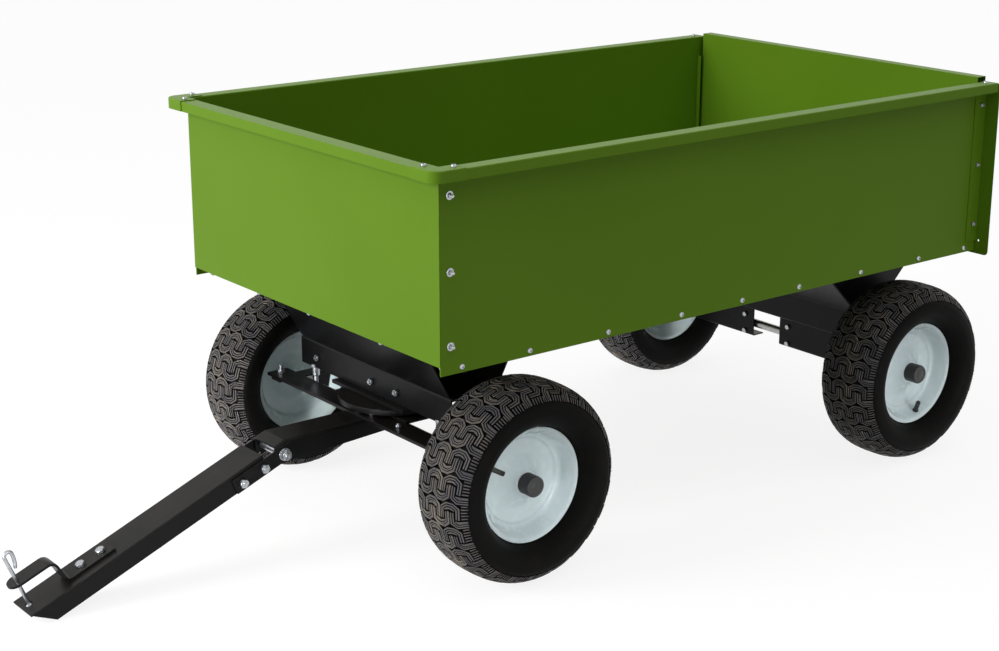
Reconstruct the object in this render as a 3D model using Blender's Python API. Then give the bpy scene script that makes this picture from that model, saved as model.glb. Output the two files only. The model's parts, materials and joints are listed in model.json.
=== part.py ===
"""Garden tractor trailer: a folded steel tray on a turntable front axle and a fixed rear axle."""

import math

import bmesh
import bpy
from mathutils import Vector
from mathutils.geometry import tessellate_polygon

# Forward is +X, left is +Y, up is +Z. Lengths are metres, and X is measured from the kingpin.

# Sheet, plate and fits
SHEET = 0.0015
HANGER_PLATE = 0.003
CHANNEL_PLATE = 0.004
GAP = 0.0003

# Tray
TRAY_FRONT = 0.214
TRAY_LENGTH = 1.5185
TRAY_HALF_WIDTH = 0.4505
TRAY_TOP = 0.854
SIDE_BOTTOM = 0.4645
FRONT_BOTTOM = 0.482
RIM_WIDTH = 0.0345
RIM_LIP = 0.0205
FRONT_FLANGE = 0.030
FRONT_SIDE_FLANGE = 0.034
FLOOR_FLANGE = 0.0203
CORNER_RADIUS = 0.025
CORNER_REACH = 0.036

# Tailgate and its guides
TAILGATE_SETBACK = 0.017
TAILGATE_PLAY = 0.0072
TAILGATE_RISE = 0.009
TAILGATE_FOLD = 0.028
TAILGATE_FOLD_DROP = 0.022
TAILGATE_EDGE = 0.018
GUIDE_LIP_SETBACK = 0.0275
GUIDE_LIP = 0.0132
GUIDE_TOP_DROP = 0.048
POST_SETBACK = 0.0025
POST_PROUD = 0.0025
POST_WIDTH = 0.0675
POST_BOTTOM = 0.457
POST_LEG = 0.036
POST_LEG_BOTTOM = 0.488
POST_CORNER = 0.010
POST_HOLE_RADIUS = 0.0025
POST_HOLE_INSET = 0.0275
POST_HOLE_RISE = 0.0315

# Wheels
WHEELBASE = 1.1246
WHEEL_HALF_TRACK = 0.4064
TYRE_RADIUS = 0.203
TYRE_HALF_WIDTH = 0.085
TYRE_WALL = 0.007
TREAD_FLAT_SHARE = 0.50
TREAD_DROP = 0.004
SHOULDER_SHARE = 0.82
SHOULDER_EDGE_SHARE = 0.94
SHOULDER_HEIGHT = 0.016
BEAD_SHARE = 0.77
BEAD_HEIGHT = 0.014
INNER_CROWN_SHARE = 0.76
RIM_RADIUS = 0.117
RIM_HALF_WIDTH = 0.0476
RIM_SHEET = 0.003
RIM_WELL_RADIUS = 0.095
RIM_WELL_HALF_WIDTH = 0.014
DISC_INSET = 0.0435
HUB_RADIUS = 0.018
HUB_INNER_END = 0.045
HUB_OUTER_END = 0.030
HUB_FACE_RADIUS = 0.0255
BEARING_WALL = 0.0036
AXLE_RADIUS = 0.010
AXLE_RUNNING = 0.0004
AXLE_COLLAR = 0.0135
AXLE_COLLAR_WIDTH = 0.003
AXLE_COLLAR_PLAY = 0.0006
AXLE_END = 0.045
CAP_RADIUS = 0.0215
CAP_LENGTH = 0.0303
CAP_WALL = 0.003
STEM_RADIUS = 0.004
STEM_LENGTH = 0.026
STEM_SHARE = 0.55
STEM_ANGLES = {"front_left": 34.0, "front_right": 214.0, "rear_left": 250.0, "rear_right": 110.0}
WHEEL_SEGMENTS = 24
ROUND_SEGMENTS = 24
AXLE_SEGMENTS = 16

# Turntable and front frame
ROOT_HALF_WIDTH = 0.040
ROOT_TOP = 0.2425
ROOT_REAR = -0.045
ROOT_FRONT_BOTTOM = 0.196
ROOT_NOSE = 0.322
ROOT_NOSE_LENGTH = 0.024
ROOT_NOSE_DROP = 0.0095
BAR_FRONT = 0.109
BAR_WIDTH = 0.051
BAR_HALF_LENGTH = 0.338
BAR_THICKNESS = 0.007
ARM_INNER = 0.286
ARM_WIDTH = 0.035
ARM_REAR = -0.030
ARM_EAR_TOP = 0.024
ARM_EAR_BOTTOM = 0.014
ARM_EAR_BELOW_AXLE = 0.015
LOWER_PLATE_HALF_LENGTH = 0.130
LOWER_PLATE_HALF_WIDTH = 0.066
LOWER_PLATE_THICKNESS = 0.006
DISC_HUB_RADIUS = 0.065
DISC_HUB_HEIGHT = 0.004
DISC_RADIUS = 0.122
DISC_HEIGHT = 0.012
UPPER_PLATE_HALF_LENGTH = 0.130
UPPER_PLATE_HALF_WIDTH = 0.075
UPPER_PLATE_THICKNESS = 0.008
BOLSTER_HALF_WIDTH = 0.059
BOLSTER_HALF_LENGTH = 0.273
BOLSTER_HEIGHT = 0.061
HANGER_HALF_LENGTH = 0.270
HANGER_FOOT = 0.0585
HANGER_SHOULDER = 0.1335
HANGER_FLANGE = 0.0265
KINGPIN_RADIUS = 0.010
KINGPIN_NUT = 0.030
KINGPIN_HEAD_HEIGHT = 0.0066
KINGPIN_NUT_HEIGHT = 0.014

# Rear frame
REAR_HANGER_HALF_WIDTH = 0.1785
REAR_HANGER_SKIRT = 0.020
REAR_HANGER_FOOT = 0.0285
REAR_HANGER_HALF_LENGTH = 0.297
REAR_PLATE_BOTTOM = 0.172
CARRIER_BOTTOM = 0.175
CARRIER_HEIGHT = 0.072
CARRIER_HALF_WIDTH = 0.018
CARRIER_INNER_END = 0.044

# Drawbar
PIVOT_X = 0.303
PIVOT_Z = 0.2155
TONGUE_HALF_WIDTH = 0.040
TONGUE_START = 0.043
TONGUE_TIP = 0.016
TONGUE_TOP = 0.025
TONGUE_BOTTOM = -0.015
FORK_REAR = -0.020
FORK_FRONT = 0.123
FORK_TOP = 0.017
FORK_BOLTS = {"fork_bolt_rear": 0.051, "fork_bolt_front": 0.104}
STRAP_RISER_FOOT = 0.492
STRAP_RISER_RUN = 0.008
STRAP_OPENING = 0.0527
STRAP_THICKNESS = 0.005
STRAP_HALF_WIDTH = 0.020
STRAP_BEND = 0.013
STRAP_BOLT_SETBACK = 0.041
STRAP_BOLT_SPACING = 0.046
STRAP_END_DISTANCE = 0.022
STRAP_REACH = 0.070
PIN_RADIUS = 0.004
PIN_TOP = 0.148
PIN_LOOP_RADIUS = 0.0085
PIN_LOOP_SIDE = 0.011
PIN_HOLE_TONGUE = 0.008
PIN_PLAY = 0.0007

# Bolts: shank radius, across flats, head height, nut height
M10 = (0.005, 0.017, 0.0064, 0.008)
M12 = (0.006, 0.019, 0.0075, 0.010)
BOLT_PLAY = 0.0003
PIVOT_PLAY = 0.0004
PIVOT_WASHER_RADIUS = 0.013
PIVOT_WASHER = 0.0025
BOLT_SEGMENTS = 12
BUSH_RADIUS = 0.010
ROOT_BOLT_Y = -0.015

# Levels and stations that follow from the sizes above
TRAY_REAR = TRAY_FRONT - TRAY_LENGTH
FRONT_INSIDE = TRAY_FRONT - SHEET
WALL_INSIDE = TRAY_HALF_WIDTH - SHEET
RIM_OUTSIDE = TRAY_HALF_WIDTH + RIM_WIDTH
RIM_BOTTOM = TRAY_TOP - RIM_LIP
POST_OUTER = RIM_OUTSIDE + POST_PROUD
POST_INNER = POST_OUTER - POST_WIDTH
FLOOR_BOTTOM = FRONT_BOTTOM + SHEET + GAP
FLOOR_TOP = FLOOR_BOTTOM + SHEET
FLANGE_OUTSIDE = WALL_INSIDE - GAP
FLANGE_INSIDE = FLANGE_OUTSIDE - SHEET
TAILGATE_HALF_WIDTH = FLANGE_INSIDE - TAILGATE_PLAY
FLOOR_REAR = TRAY_REAR - POST_SETBACK + GAP
HANGER_TOP = FLOOR_BOTTOM - GAP
TAILGATE_FACE = TRAY_REAR + TAILGATE_SETBACK
AXLE_Z = TYRE_RADIUS
BAR_BOTTOM = ROOT_TOP + GAP
BAR_TOP = BAR_BOTTOM + BAR_THICKNESS
BAR_MIDDLE = BAR_FRONT - BAR_WIDTH / 2
LOWER_PLATE_BOTTOM = BAR_TOP + GAP
DISC_BOTTOM = LOWER_PLATE_BOTTOM + LOWER_PLATE_THICKNESS + GAP
DISC_TOP = DISC_BOTTOM + DISC_HUB_HEIGHT + DISC_HEIGHT
UPPER_PLATE_BOTTOM = DISC_TOP + GAP
BOLSTER_BOTTOM = UPPER_PLATE_BOTTOM + UPPER_PLATE_THICKNESS + GAP
BOLSTER_TOP = BOLSTER_BOTTOM + BOLSTER_HEIGHT
HANGER_BOTTOM = BOLSTER_TOP + GAP
CARRIER_TOP = CARRIER_BOTTOM + CARRIER_HEIGHT
REAR_HANGER_BOTTOM = CARRIER_TOP + GAP
REAR_AXLE_X = -WHEELBASE
BORE_RADIUS = AXLE_RADIUS + AXLE_RUNNING
KINGPIN_BORE = KINGPIN_RADIUS + AXLE_RUNNING
STRAP_RISER_TOP = STRAP_RISER_FOOT + STRAP_RISER_RUN
PIN_STATION = STRAP_RISER_TOP + STRAP_REACH
TONGUE_END = PIN_STATION + TONGUE_TIP
TONGUE_CORNER = TONGUE_END - CHANNEL_PLATE - (TONGUE_TOP - CHANNEL_PLATE - TONGUE_BOTTOM)
REACH = math.hypot(TONGUE_CORNER, TONGUE_BOTTOM)
TONGUE_SLOPE = math.asin(PIVOT_Z / REACH) + math.atan2(TONGUE_BOTTOM, TONGUE_CORNER)
STRAP_BOLT_FRONT = STRAP_RISER_FOOT - STRAP_BOLT_SETBACK
STRAP_BOLT_REAR = STRAP_BOLT_FRONT - STRAP_BOLT_SPACING
STRAP_BOLTS = {"strap_bolt_rear": STRAP_BOLT_REAR, "strap_bolt_front": STRAP_BOLT_FRONT}
STRAP_REAR = STRAP_BOLT_REAR - STRAP_END_DISTANCE


# Outlines and places

def along_x(u, v, w):
    """Outline in Y and Z, drawn out along X."""
    return Vector((w, u, v))


def along_y(u, v, w):
    """Outline in X and Z, drawn out along Y."""
    return Vector((u, w, v))


def along_z(u, v, w):
    """Outline in X and Y, drawn out along Z."""
    return Vector((u, v, w))


def box_outline(low_u, high_u, low_v, high_v):
    return [(low_u, low_v), (high_u, low_v), (high_u, high_v), (low_u, high_v)]


def arc(centre_u, centre_v, radius, start, end, steps):
    """Points of an arc in the outline's plane, angles in degrees."""
    points = []
    for step in range(steps + 1):
        angle = math.radians(start + (end - start) * step / steps)
        points.append((centre_u + radius * math.cos(angle), centre_v + radius * math.sin(angle)))
    return points


def circle(radius, segments, centre_u=0.0, centre_v=0.0):
    return arc(centre_u, centre_v, radius, 0, 360, segments)[:-1]


def hexagon(across_flats, segments, centre_u=0.0, centre_v=0.0):
    """A hexagon with as many points as a circle of the same segments, spread along its sides."""
    points = []
    for step in range(segments):
        angle = 2 * math.pi * step / segments
        from_flat = (angle + math.pi / 6) % (math.pi / 3) - math.pi / 6
        radius = across_flats / 2 / math.cos(from_flat)
        points.append((centre_u + radius * math.cos(angle), centre_v + radius * math.sin(angle)))
    return points


def rounded_path(points, radius, steps):
    """Replaces each inner corner of an open path by an arc."""
    path = [points[0]]
    for before, corner, after in zip(points, points[1:], points[2:]):
        here = Vector(corner)
        inward = (Vector(before) - here).normalized()
        outward = (Vector(after) - here).normalized()
        half_angle = inward.angle(outward) / 2
        centre = here + (inward + outward).normalized() * radius / math.sin(half_angle)
        start = here + inward * radius / math.tan(half_angle) - centre
        end = here + outward * radius / math.tan(half_angle) - centre
        for step in range(steps + 1):
            spoke = start.slerp(end, step / steps) if step else start
            path.append(tuple(centre + spoke.normalized() * radius))
    path.append(points[-1])
    return path


def folded_outline(path, thickness):
    """Outline of a folded sheet, from one face's path; the sheet lies to the right of the path."""
    normals = []
    for start, end in zip(path, path[1:]):
        run = (Vector(end) - Vector(start)).normalized()
        normals.append(Vector((run.y, -run.x)))
    offsets = [normals[0]]
    for before, after in zip(normals, normals[1:]):
        offsets.append((before + after) / (1 + before.dot(after)))
    offsets.append(normals[-1])
    far = [tuple(Vector(point) + offset * thickness) for point, offset in zip(path, offsets)]
    return list(path) + far[::-1]


# Solids

def add_prism(mesh, outlines, start, end, place):
    """Draws an outline, with its holes after it, from start to end."""
    loops = [[Vector((u, v, 0)) for u, v in outline] for outline in outlines]
    flat = [point for outline in outlines for point in outline]
    near = [mesh.verts.new(place(u, v, start)) for u, v in flat]
    far = [mesh.verts.new(place(u, v, end)) for u, v in flat]
    for a, b, c in tessellate_polygon(loops):
        mesh.faces.new((near[a], near[b], near[c]))
        mesh.faces.new((far[c], far[b], far[a]))
    first = 0
    for outline in outlines:
        count = len(outline)
        for step in range(count):
            a = first + step
            b = first + (step + 1) % count
            mesh.faces.new((near[a], near[b], far[b], far[a]))
        first += count


def add_stack(mesh, sections, place):
    """Joins sections of (station, outline), each with as many points, and closes both ends."""
    rings = []
    for station, outline in sections:
        rings.append([mesh.verts.new(place(u, v, station)) for u, v in outline])
    for ring, following in zip(rings, rings[1:]):
        count = len(ring)
        for step in range(count):
            after = (step + 1) % count
            mesh.faces.new((ring[step], ring[after], following[after], following[step]))
    mesh.faces.new(rings[0])
    mesh.faces.new(rings[-1])


def add_turned(mesh, profile, segments, place, phase=0.0):
    """Turns a closed profile of (station, radius) once round its axis."""
    rings = []
    for step in range(segments):
        angle = 2 * math.pi * (step + phase) / segments
        ring = []
        for station, radius in profile:
            ring.append(mesh.verts.new(place(radius * math.cos(angle), radius * math.sin(angle), station)))
        rings.append(ring)
    for index, ring in enumerate(rings):
        following = rings[(index + 1) % segments]
        for step in range(len(profile)):
            after = (step + 1) % len(profile)
            mesh.faces.new((ring[step], ring[after], following[after], following[step]))


def add_tube(mesh, path, radius, segments, side):
    """Sweeps a round bar along a path that stays in one plane, whose normal is side."""
    rings = []
    for index, point in enumerate(path):
        before = path[max(index - 1, 0)]
        after = path[min(index + 1, len(path) - 1)]
        run = (after - before).normalized()
        across = side.cross(run).normalized()
        ring = []
        for u, v in circle(radius, segments):
            ring.append(mesh.verts.new(point + across * u + side * v))
        rings.append(ring)
    for ring, following in zip(rings, rings[1:]):
        for step in range(segments):
            after = (step + 1) % segments
            mesh.faces.new((ring[step], ring[after], following[after], following[step]))
    mesh.faces.new(rings[0])
    mesh.faces.new(rings[-1])


# Objects

def make_finish(name, colour, metallic, roughness):
    finish = bpy.data.materials.new(name)
    finish.use_nodes = True
    shader = finish.node_tree.nodes["Principled BSDF"]
    shader.inputs["Base Color"].default_value = (*colour, 1)
    shader.inputs["Metallic"].default_value = metallic
    shader.inputs["Roughness"].default_value = roughness
    finish.diffuse_color = (*colour, 1)
    return finish


def make_empty(name, location, parent=None, slope=0.0):
    empty = bpy.data.objects.new(name, None)
    empty.location = location
    empty.rotation_euler = (0, slope, 0)
    empty.parent = parent
    bpy.context.scene.collection.objects.link(empty)
    return empty


def make_piece(name, mesh, finish, parent):
    """Turns a finished bmesh into one named object under its parent."""
    bmesh.ops.recalc_face_normals(mesh, faces=mesh.faces)
    data = bpy.data.meshes.new(name)
    mesh.to_mesh(data)
    mesh.free()
    piece = bpy.data.objects.new(name, data)
    piece.parent = parent
    if finish:
        data.materials.append(finish)
    bpy.context.scene.collection.objects.link(piece)
    shade(piece)
    return piece


def shade(piece):
    piece.data.shade_smooth()
    piece.data.set_sharp_from_angle(angle=math.radians(35))


def combine(piece, mesh, operation):
    """Applies a boolean with the solids in a bmesh, which is in the piece's own space."""
    tool = make_piece("tool", mesh, None, piece.parent)
    modifier = piece.modifiers.new("combine", "BOOLEAN")
    modifier.operation = operation
    modifier.object = tool
    depsgraph = bpy.context.evaluated_depsgraph_get()
    result = bpy.data.meshes.new_from_object(piece.evaluated_get(depsgraph))
    piece.modifiers.clear()
    old_mesh = piece.data
    name = old_mesh.name
    piece.data = result
    bpy.data.meshes.remove(old_mesh)
    result.name = name
    tool_mesh = tool.data
    bpy.data.objects.remove(tool)
    bpy.data.meshes.remove(tool_mesh)
    shade(piece)


def round_cutter(radius, start, end, place, centre_u=0.0, centre_v=0.0, segments=BOLT_SEGMENTS):
    cutter = bmesh.new()
    add_prism(cutter, [circle(radius, segments, centre_u, centre_v)], start, end, place)
    return cutter


# Tray

def floor_panel(finish, parent):
    path = [(-FLANGE_OUTSIDE, FLOOR_TOP - FLOOR_FLANGE), (-FLANGE_OUTSIDE, FLOOR_TOP),
            (FLANGE_OUTSIDE, FLOOR_TOP), (FLANGE_OUTSIDE, FLOOR_TOP - FLOOR_FLANGE)]
    mesh = bmesh.new()
    add_prism(mesh, [folded_outline(path, SHEET)], FLOOR_REAR, FRONT_INSIDE - GAP, along_x)
    make_piece("floor_panel", mesh, finish, parent)


def side_panel(name, side, finish, parent):
    path = [(WALL_INSIDE, SIDE_BOTTOM), (WALL_INSIDE, TRAY_TOP),
            (RIM_OUTSIDE, TRAY_TOP), (RIM_OUTSIDE, RIM_BOTTOM)]
    outline = [(side * y, z) for y, z in folded_outline(path, SHEET)]
    mesh = bmesh.new()
    add_prism(mesh, [outline], TRAY_REAR, FRONT_INSIDE - GAP, along_x)
    make_piece(name, mesh, finish, parent)


def front_panel(finish, parent):
    """Face and rim, with a bottom flange under the floor and a flange behind each side panel."""
    path = [(FRONT_INSIDE, FRONT_BOTTOM), (FRONT_INSIDE, TRAY_TOP),
            (TRAY_FRONT + RIM_WIDTH, TRAY_TOP), (TRAY_FRONT + RIM_WIDTH, RIM_BOTTOM)]
    mesh = bmesh.new()
    add_prism(mesh, [folded_outline(path, SHEET)], -TRAY_HALF_WIDTH, TRAY_HALF_WIDTH, along_y)
    panel = make_piece("front_panel", mesh, finish, parent)
    into_face = TRAY_FRONT - SHEET / 2
    flanges = bmesh.new()
    foot = box_outline(TRAY_FRONT - FRONT_FLANGE, into_face, FRONT_BOTTOM, FRONT_BOTTOM + SHEET)
    foot_reach = FLANGE_INSIDE - GAP
    add_prism(flanges, [foot], -foot_reach, foot_reach, along_y)
    cheek = box_outline(TRAY_FRONT - FRONT_SIDE_FLANGE, into_face, FLOOR_TOP + GAP, TRAY_TOP - RIM_LIP)
    for side in (1, -1):
        add_prism(flanges, [cheek], side * FLANGE_INSIDE, side * FLANGE_OUTSIDE, along_y)
    combine(panel, flanges, "UNION")


def corner_cap(name, side, finish, parent):
    """Sheet over the corner where the two rims meet, with a rounded lip round the outside."""
    lift = GAP + SHEET
    out_x = TRAY_FRONT + RIM_WIDTH + lift
    out_y = RIM_OUTSIDE + lift
    radius = CORNER_RADIUS + lift
    centre_x = out_x - radius
    centre_y = out_y - radius
    end_x = TRAY_FRONT - CORNER_REACH
    end_y = TRAY_HALF_WIDTH - CORNER_REACH
    curve = arc(centre_x, centre_y, radius, 0, 90, 8)
    lip = curve + [(end_x, out_y)]
    inner = [(end_x, TRAY_HALF_WIDTH), (TRAY_FRONT, TRAY_HALF_WIDTH), (TRAY_FRONT, end_y), (out_x, end_y)]
    mesh = bmesh.new()
    top = TRAY_TOP + lift
    upper = [mesh.verts.new((x, side * y, top)) for x, y in lip]
    lower = [mesh.verts.new((x, side * y, RIM_BOTTOM)) for x, y in lip]
    rest = [mesh.verts.new((x, side * y, top)) for x, y in inner]
    mesh.faces.new(upper + rest)
    for step in range(len(lip) - 1):
        mesh.faces.new((upper[step], lower[step], lower[step + 1], upper[step + 1]))
    cap = make_piece(name, mesh, finish, parent)
    upward = cap.data.polygons[0].normal.z > 0
    skin = cap.modifiers.new("sheet", "SOLIDIFY")
    skin.thickness = SHEET
    skin.offset = -1 if upward else 1
    skin.use_even_offset = True


def rear_post(name, side, finish, parent):
    """Plate behind the slot, with a leg that lies on the outside of the side panel."""
    face = TRAY_REAR - POST_SETBACK
    top = TRAY_TOP - SHEET - GAP
    corner = arc(POST_OUTER - POST_CORNER, POST_BOTTOM + POST_CORNER, POST_CORNER, -90, 0, 4)
    outline = [(POST_INNER, POST_BOTTOM)] + corner + [(POST_OUTER, top), (POST_INNER, top)]
    hole = circle(POST_HOLE_RADIUS, BOLT_SEGMENTS, POST_OUTER - POST_HOLE_INSET, POST_BOTTOM + POST_HOLE_RISE)
    loops = [[(side * y, z) for y, z in loop] for loop in (outline, hole)]
    mesh = bmesh.new()
    add_prism(mesh, loops, face - SHEET, face, along_x)
    post = make_piece(name, mesh, finish, parent)
    leg_inner = TRAY_HALF_WIDTH + GAP
    leg = box_outline(face - SHEET / 2, face + POST_LEG, POST_LEG_BOTTOM, top)
    tool = bmesh.new()
    add_prism(tool, [leg], side * leg_inner, side * (leg_inner + SHEET), along_y)
    combine(post, tool, "UNION")


def rear_guide(name, side, finish, parent):
    """Angle inside the side panel; its lip is the front of the tailgate's slot."""
    lip = TRAY_REAR + GUIDE_LIP_SETBACK
    rear = TRAY_REAR - POST_SETBACK + GAP
    path = [(rear, FLANGE_OUTSIDE), (lip, FLANGE_OUTSIDE), (lip, FLANGE_OUTSIDE - GUIDE_LIP)]
    outline = [(x, side * y) for x, y in folded_outline(path, SHEET)]
    mesh = bmesh.new()
    add_prism(mesh, [outline], FLOOR_TOP + GAP, TRAY_TOP - GUIDE_TOP_DROP, along_z)
    make_piece(name, mesh, finish, parent)


def tailgate(finish, parent):
    """Sliding sheet with its top folded back and down, and a stiffening edge at each side."""
    back = TAILGATE_FACE - TAILGATE_FOLD
    top = TRAY_TOP + TAILGATE_RISE
    bottom = FLOOR_TOP + GAP
    fold_bottom = top - TAILGATE_FOLD_DROP
    path = [(back, fold_bottom), (back, top), (TAILGATE_FACE, top), (TAILGATE_FACE, bottom)]
    mesh = bmesh.new()
    reach = TAILGATE_HALF_WIDTH
    add_prism(mesh, [folded_outline(path, SHEET)], -reach, reach, along_y)
    gate = make_piece("tailgate", mesh, finish, parent)
    edge = box_outline(TAILGATE_FACE - TAILGATE_EDGE, TAILGATE_FACE - SHEET / 2, bottom, fold_bottom)
    tool = bmesh.new()
    for side in (1, -1):
        add_prism(tool, [edge], side * (reach - SHEET), side * reach, along_y)
    combine(gate, tool, "UNION")


# Wheels, each built round its own centre with the outboard side at +w

def outboard(side):
    """Place with the wheel's axis along Y and w measured outwards."""
    return lambda u, v, w: Vector((u, side * w, v))


def flat_radius(radius):
    """Radius of the corners whose flats lie at the given radius."""
    return radius / math.cos(math.pi / WHEEL_SEGMENTS)


def turned_wheel_piece(name, profile, side, finish, parent):
    mesh = bmesh.new()
    corners = [(w, flat_radius(radius)) for w, radius in profile]
    add_turned(mesh, corners, WHEEL_SEGMENTS, outboard(side), phase=0.5)
    return make_piece(name, mesh, finish, parent)


def tyre(name, side, finish, parent):
    """Open carcass: outer half section, mirrored, then the inner half section, mirrored."""
    seat = RIM_RADIUS - 2 * RIM_SHEET - GAP / 2
    flange = RIM_HALF_WIDTH - RIM_SHEET - GAP
    widest = TYRE_HALF_WIDTH
    middle = (TYRE_RADIUS + RIM_RADIUS) / 2 + TYRE_WALL
    outer = [(flange, seat + GAP), (flange, RIM_RADIUS + GAP),
             (BEAD_SHARE * widest, RIM_RADIUS + BEAD_HEIGHT), (widest, middle),
             (SHOULDER_EDGE_SHARE * widest, TYRE_RADIUS - SHOULDER_HEIGHT),
             (SHOULDER_SHARE * widest, TYRE_RADIUS - TREAD_DROP), (TREAD_FLAT_SHARE * widest, TYRE_RADIUS)]
    inner = [(flange - TYRE_WALL, seat + GAP), (widest - TYRE_WALL, middle),
             (INNER_CROWN_SHARE * widest, TYRE_RADIUS - TREAD_DROP - TYRE_WALL)]
    profile = outer + [(-w, radius) for w, radius in outer[::-1]]
    profile += [(-w, radius) for w, radius in inner] + inner[::-1]
    turned_wheel_piece(name, profile, side, finish, parent)


def rim(name, side, finish, parent):
    """Pressed rim: barrel with flanges, dished disc and the hub tube, in one closed section."""
    seat = RIM_RADIUS - 2 * RIM_SHEET - GAP / 2
    well = RIM_WELL_RADIUS
    half = RIM_HALF_WIDTH
    bore = BORE_RADIUS + BEARING_WALL + GAP
    disc = half - DISC_INSET
    profile = [(half, RIM_RADIUS), (half - RIM_SHEET, RIM_RADIUS), (half - RIM_SHEET, seat),
               (RIM_WELL_HALF_WIDTH, well), (-RIM_WELL_HALF_WIDTH, well),
               (-half + RIM_SHEET, seat), (-half + RIM_SHEET, RIM_RADIUS), (-half, RIM_RADIUS),
               (-half, seat - RIM_SHEET), (-RIM_WELL_HALF_WIDTH - RIM_SHEET / 2, well - RIM_SHEET),
               (disc - RIM_SHEET, well - RIM_SHEET), (disc - RIM_SHEET / 2, 0.058),
               (disc + 0.016, HUB_FACE_RADIUS), (disc + 0.016, HUB_RADIUS),
               (-HUB_INNER_END, HUB_RADIUS), (-HUB_INNER_END, bore),
               (HUB_OUTER_END, bore), (HUB_OUTER_END, HUB_FACE_RADIUS - 0.001),
               (disc + 0.0205, HUB_FACE_RADIUS + 0.003), (disc + 0.0035, 0.060),
               (disc + 0.005, 0.078), (RIM_WELL_HALF_WIDTH + RIM_SHEET / 2, well - RIM_SHEET),
               (half, seat - RIM_SHEET)]
    turned_wheel_piece(name, profile, side, finish, parent)


def wheel_bearing(name, side, finish, parent):
    outer = BORE_RADIUS + BEARING_WALL
    profile = [(-HUB_INNER_END, BORE_RADIUS), (-HUB_INNER_END, outer),
               (HUB_OUTER_END, outer), (HUB_OUTER_END, BORE_RADIUS)]
    turned_wheel_piece(name, profile, side, finish, parent)


def hub_cap(name, side, finish, parent):
    """Push-on cap, open towards the hub."""
    seat = HUB_OUTER_END + GAP
    tip = seat + CAP_LENGTH
    cavity = CAP_RADIUS - CAP_WALL
    mesh = bmesh.new()
    sections = [(tip - CAP_WALL, cavity), (seat, cavity), (seat, CAP_RADIUS),
                (tip - 0.0015, CAP_RADIUS), (tip, CAP_RADIUS - 0.0015)]
    stations = [(station, circle(radius, ROUND_SEGMENTS)) for station, radius in sections]
    add_stack(mesh, stations, outboard(side))
    make_piece(name, mesh, finish, parent)


def valve_stem(name, side, angle, finish, parent):
    """Rubber stem standing square on the outer slope of the rim's barrel."""
    seat = RIM_RADIUS - 2 * RIM_SHEET - GAP / 2 - RIM_SHEET
    foot = Vector((RIM_WELL_HALF_WIDTH + RIM_SHEET / 2, RIM_WELL_RADIUS - RIM_SHEET))
    slope = Vector((RIM_HALF_WIDTH, seat)) - foot
    normal = Vector((slope.y, -slope.x)).normalized()
    base = foot + slope * STEM_SHARE + normal * 2 * GAP
    turn = round(angle * WHEEL_SEGMENTS / 360) * 2 * math.pi / WHEEL_SEGMENTS
    spoke = Vector((math.cos(turn), 0, math.sin(turn)))
    axle = Vector((0, side, 0))
    across = spoke.cross(axle)
    along = (axle * normal.x + spoke * normal.y).normalized()
    start = axle * base.x + spoke * base.y
    second = along.cross(across)
    shape = [(0, 1.25), (0.25, 1.0), (0.8, 1.0), (0.84, 0.8), (1, 0.8)]
    mesh = bmesh.new()
    sections = [(share * STEM_LENGTH, circle(factor * STEM_RADIUS, 10)) for share, factor in shape]
    add_stack(mesh, sections, lambda u, v, w: start + across * u + second * v + along * w)
    make_piece(name, mesh, finish, parent)


def wheel(place, side, finishes, parent):
    tyre(place + "_tyre", side, finishes["tyre"], parent)
    rim(place + "_rim", side, finishes["rim_paint"], parent)
    wheel_bearing(place + "_bearing", side, finishes["steel"], parent)
    hub_cap(place + "_hub_cap", side, finishes["plastic"], parent)
    valve_stem(place + "_valve_stem", side, STEM_ANGLES[place], finishes["plastic"], parent)


def axle(name, x, finish, parent):
    """Solid round axle with a pressed-on collar outside each hub."""
    collar = WHEEL_HALF_TRACK + HUB_OUTER_END + AXLE_COLLAR_PLAY
    half = [(0.0, AXLE_RADIUS), (collar, AXLE_RADIUS), (collar, AXLE_COLLAR),
            (collar + AXLE_COLLAR_WIDTH, AXLE_COLLAR), (collar + AXLE_COLLAR_WIDTH, AXLE_RADIUS),
            (WHEEL_HALF_TRACK + AXLE_END, AXLE_RADIUS)]
    sections = [(-station, radius) for station, radius in half[:0:-1]] + half[1:]
    rings = [(station, circle(radius, AXLE_SEGMENTS, x, AXLE_Z)) for station, radius in sections]
    mesh = bmesh.new()
    add_stack(mesh, rings, along_y)
    make_piece(name, mesh, finish, parent)


# Front frame that stays with the tray

def front_hanger(finish, parent):
    """Hat section: foot on the bolster, sloping faces, top flanges under the floor."""
    foot = HANGER_BOTTOM + HANGER_PLATE
    edge = HANGER_SHOULDER + HANGER_FLANGE
    path = [(-edge, HANGER_TOP), (-HANGER_SHOULDER, HANGER_TOP), (-HANGER_FOOT, foot),
            (HANGER_FOOT, foot), (HANGER_SHOULDER, HANGER_TOP), (edge, HANGER_TOP)]
    mesh = bmesh.new()
    reach = HANGER_HALF_LENGTH
    add_prism(mesh, [folded_outline(path, HANGER_PLATE)], -reach, reach, along_y)
    hanger = make_piece("front_hanger", mesh, finish, parent)
    low = HANGER_BOTTOM - HANGER_PLATE
    high = foot + HANGER_PLATE
    cutter = round_cutter(KINGPIN_BORE, low, high, along_z, segments=ROUND_SEGMENTS)
    combine(hanger, cutter, "DIFFERENCE")


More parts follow.
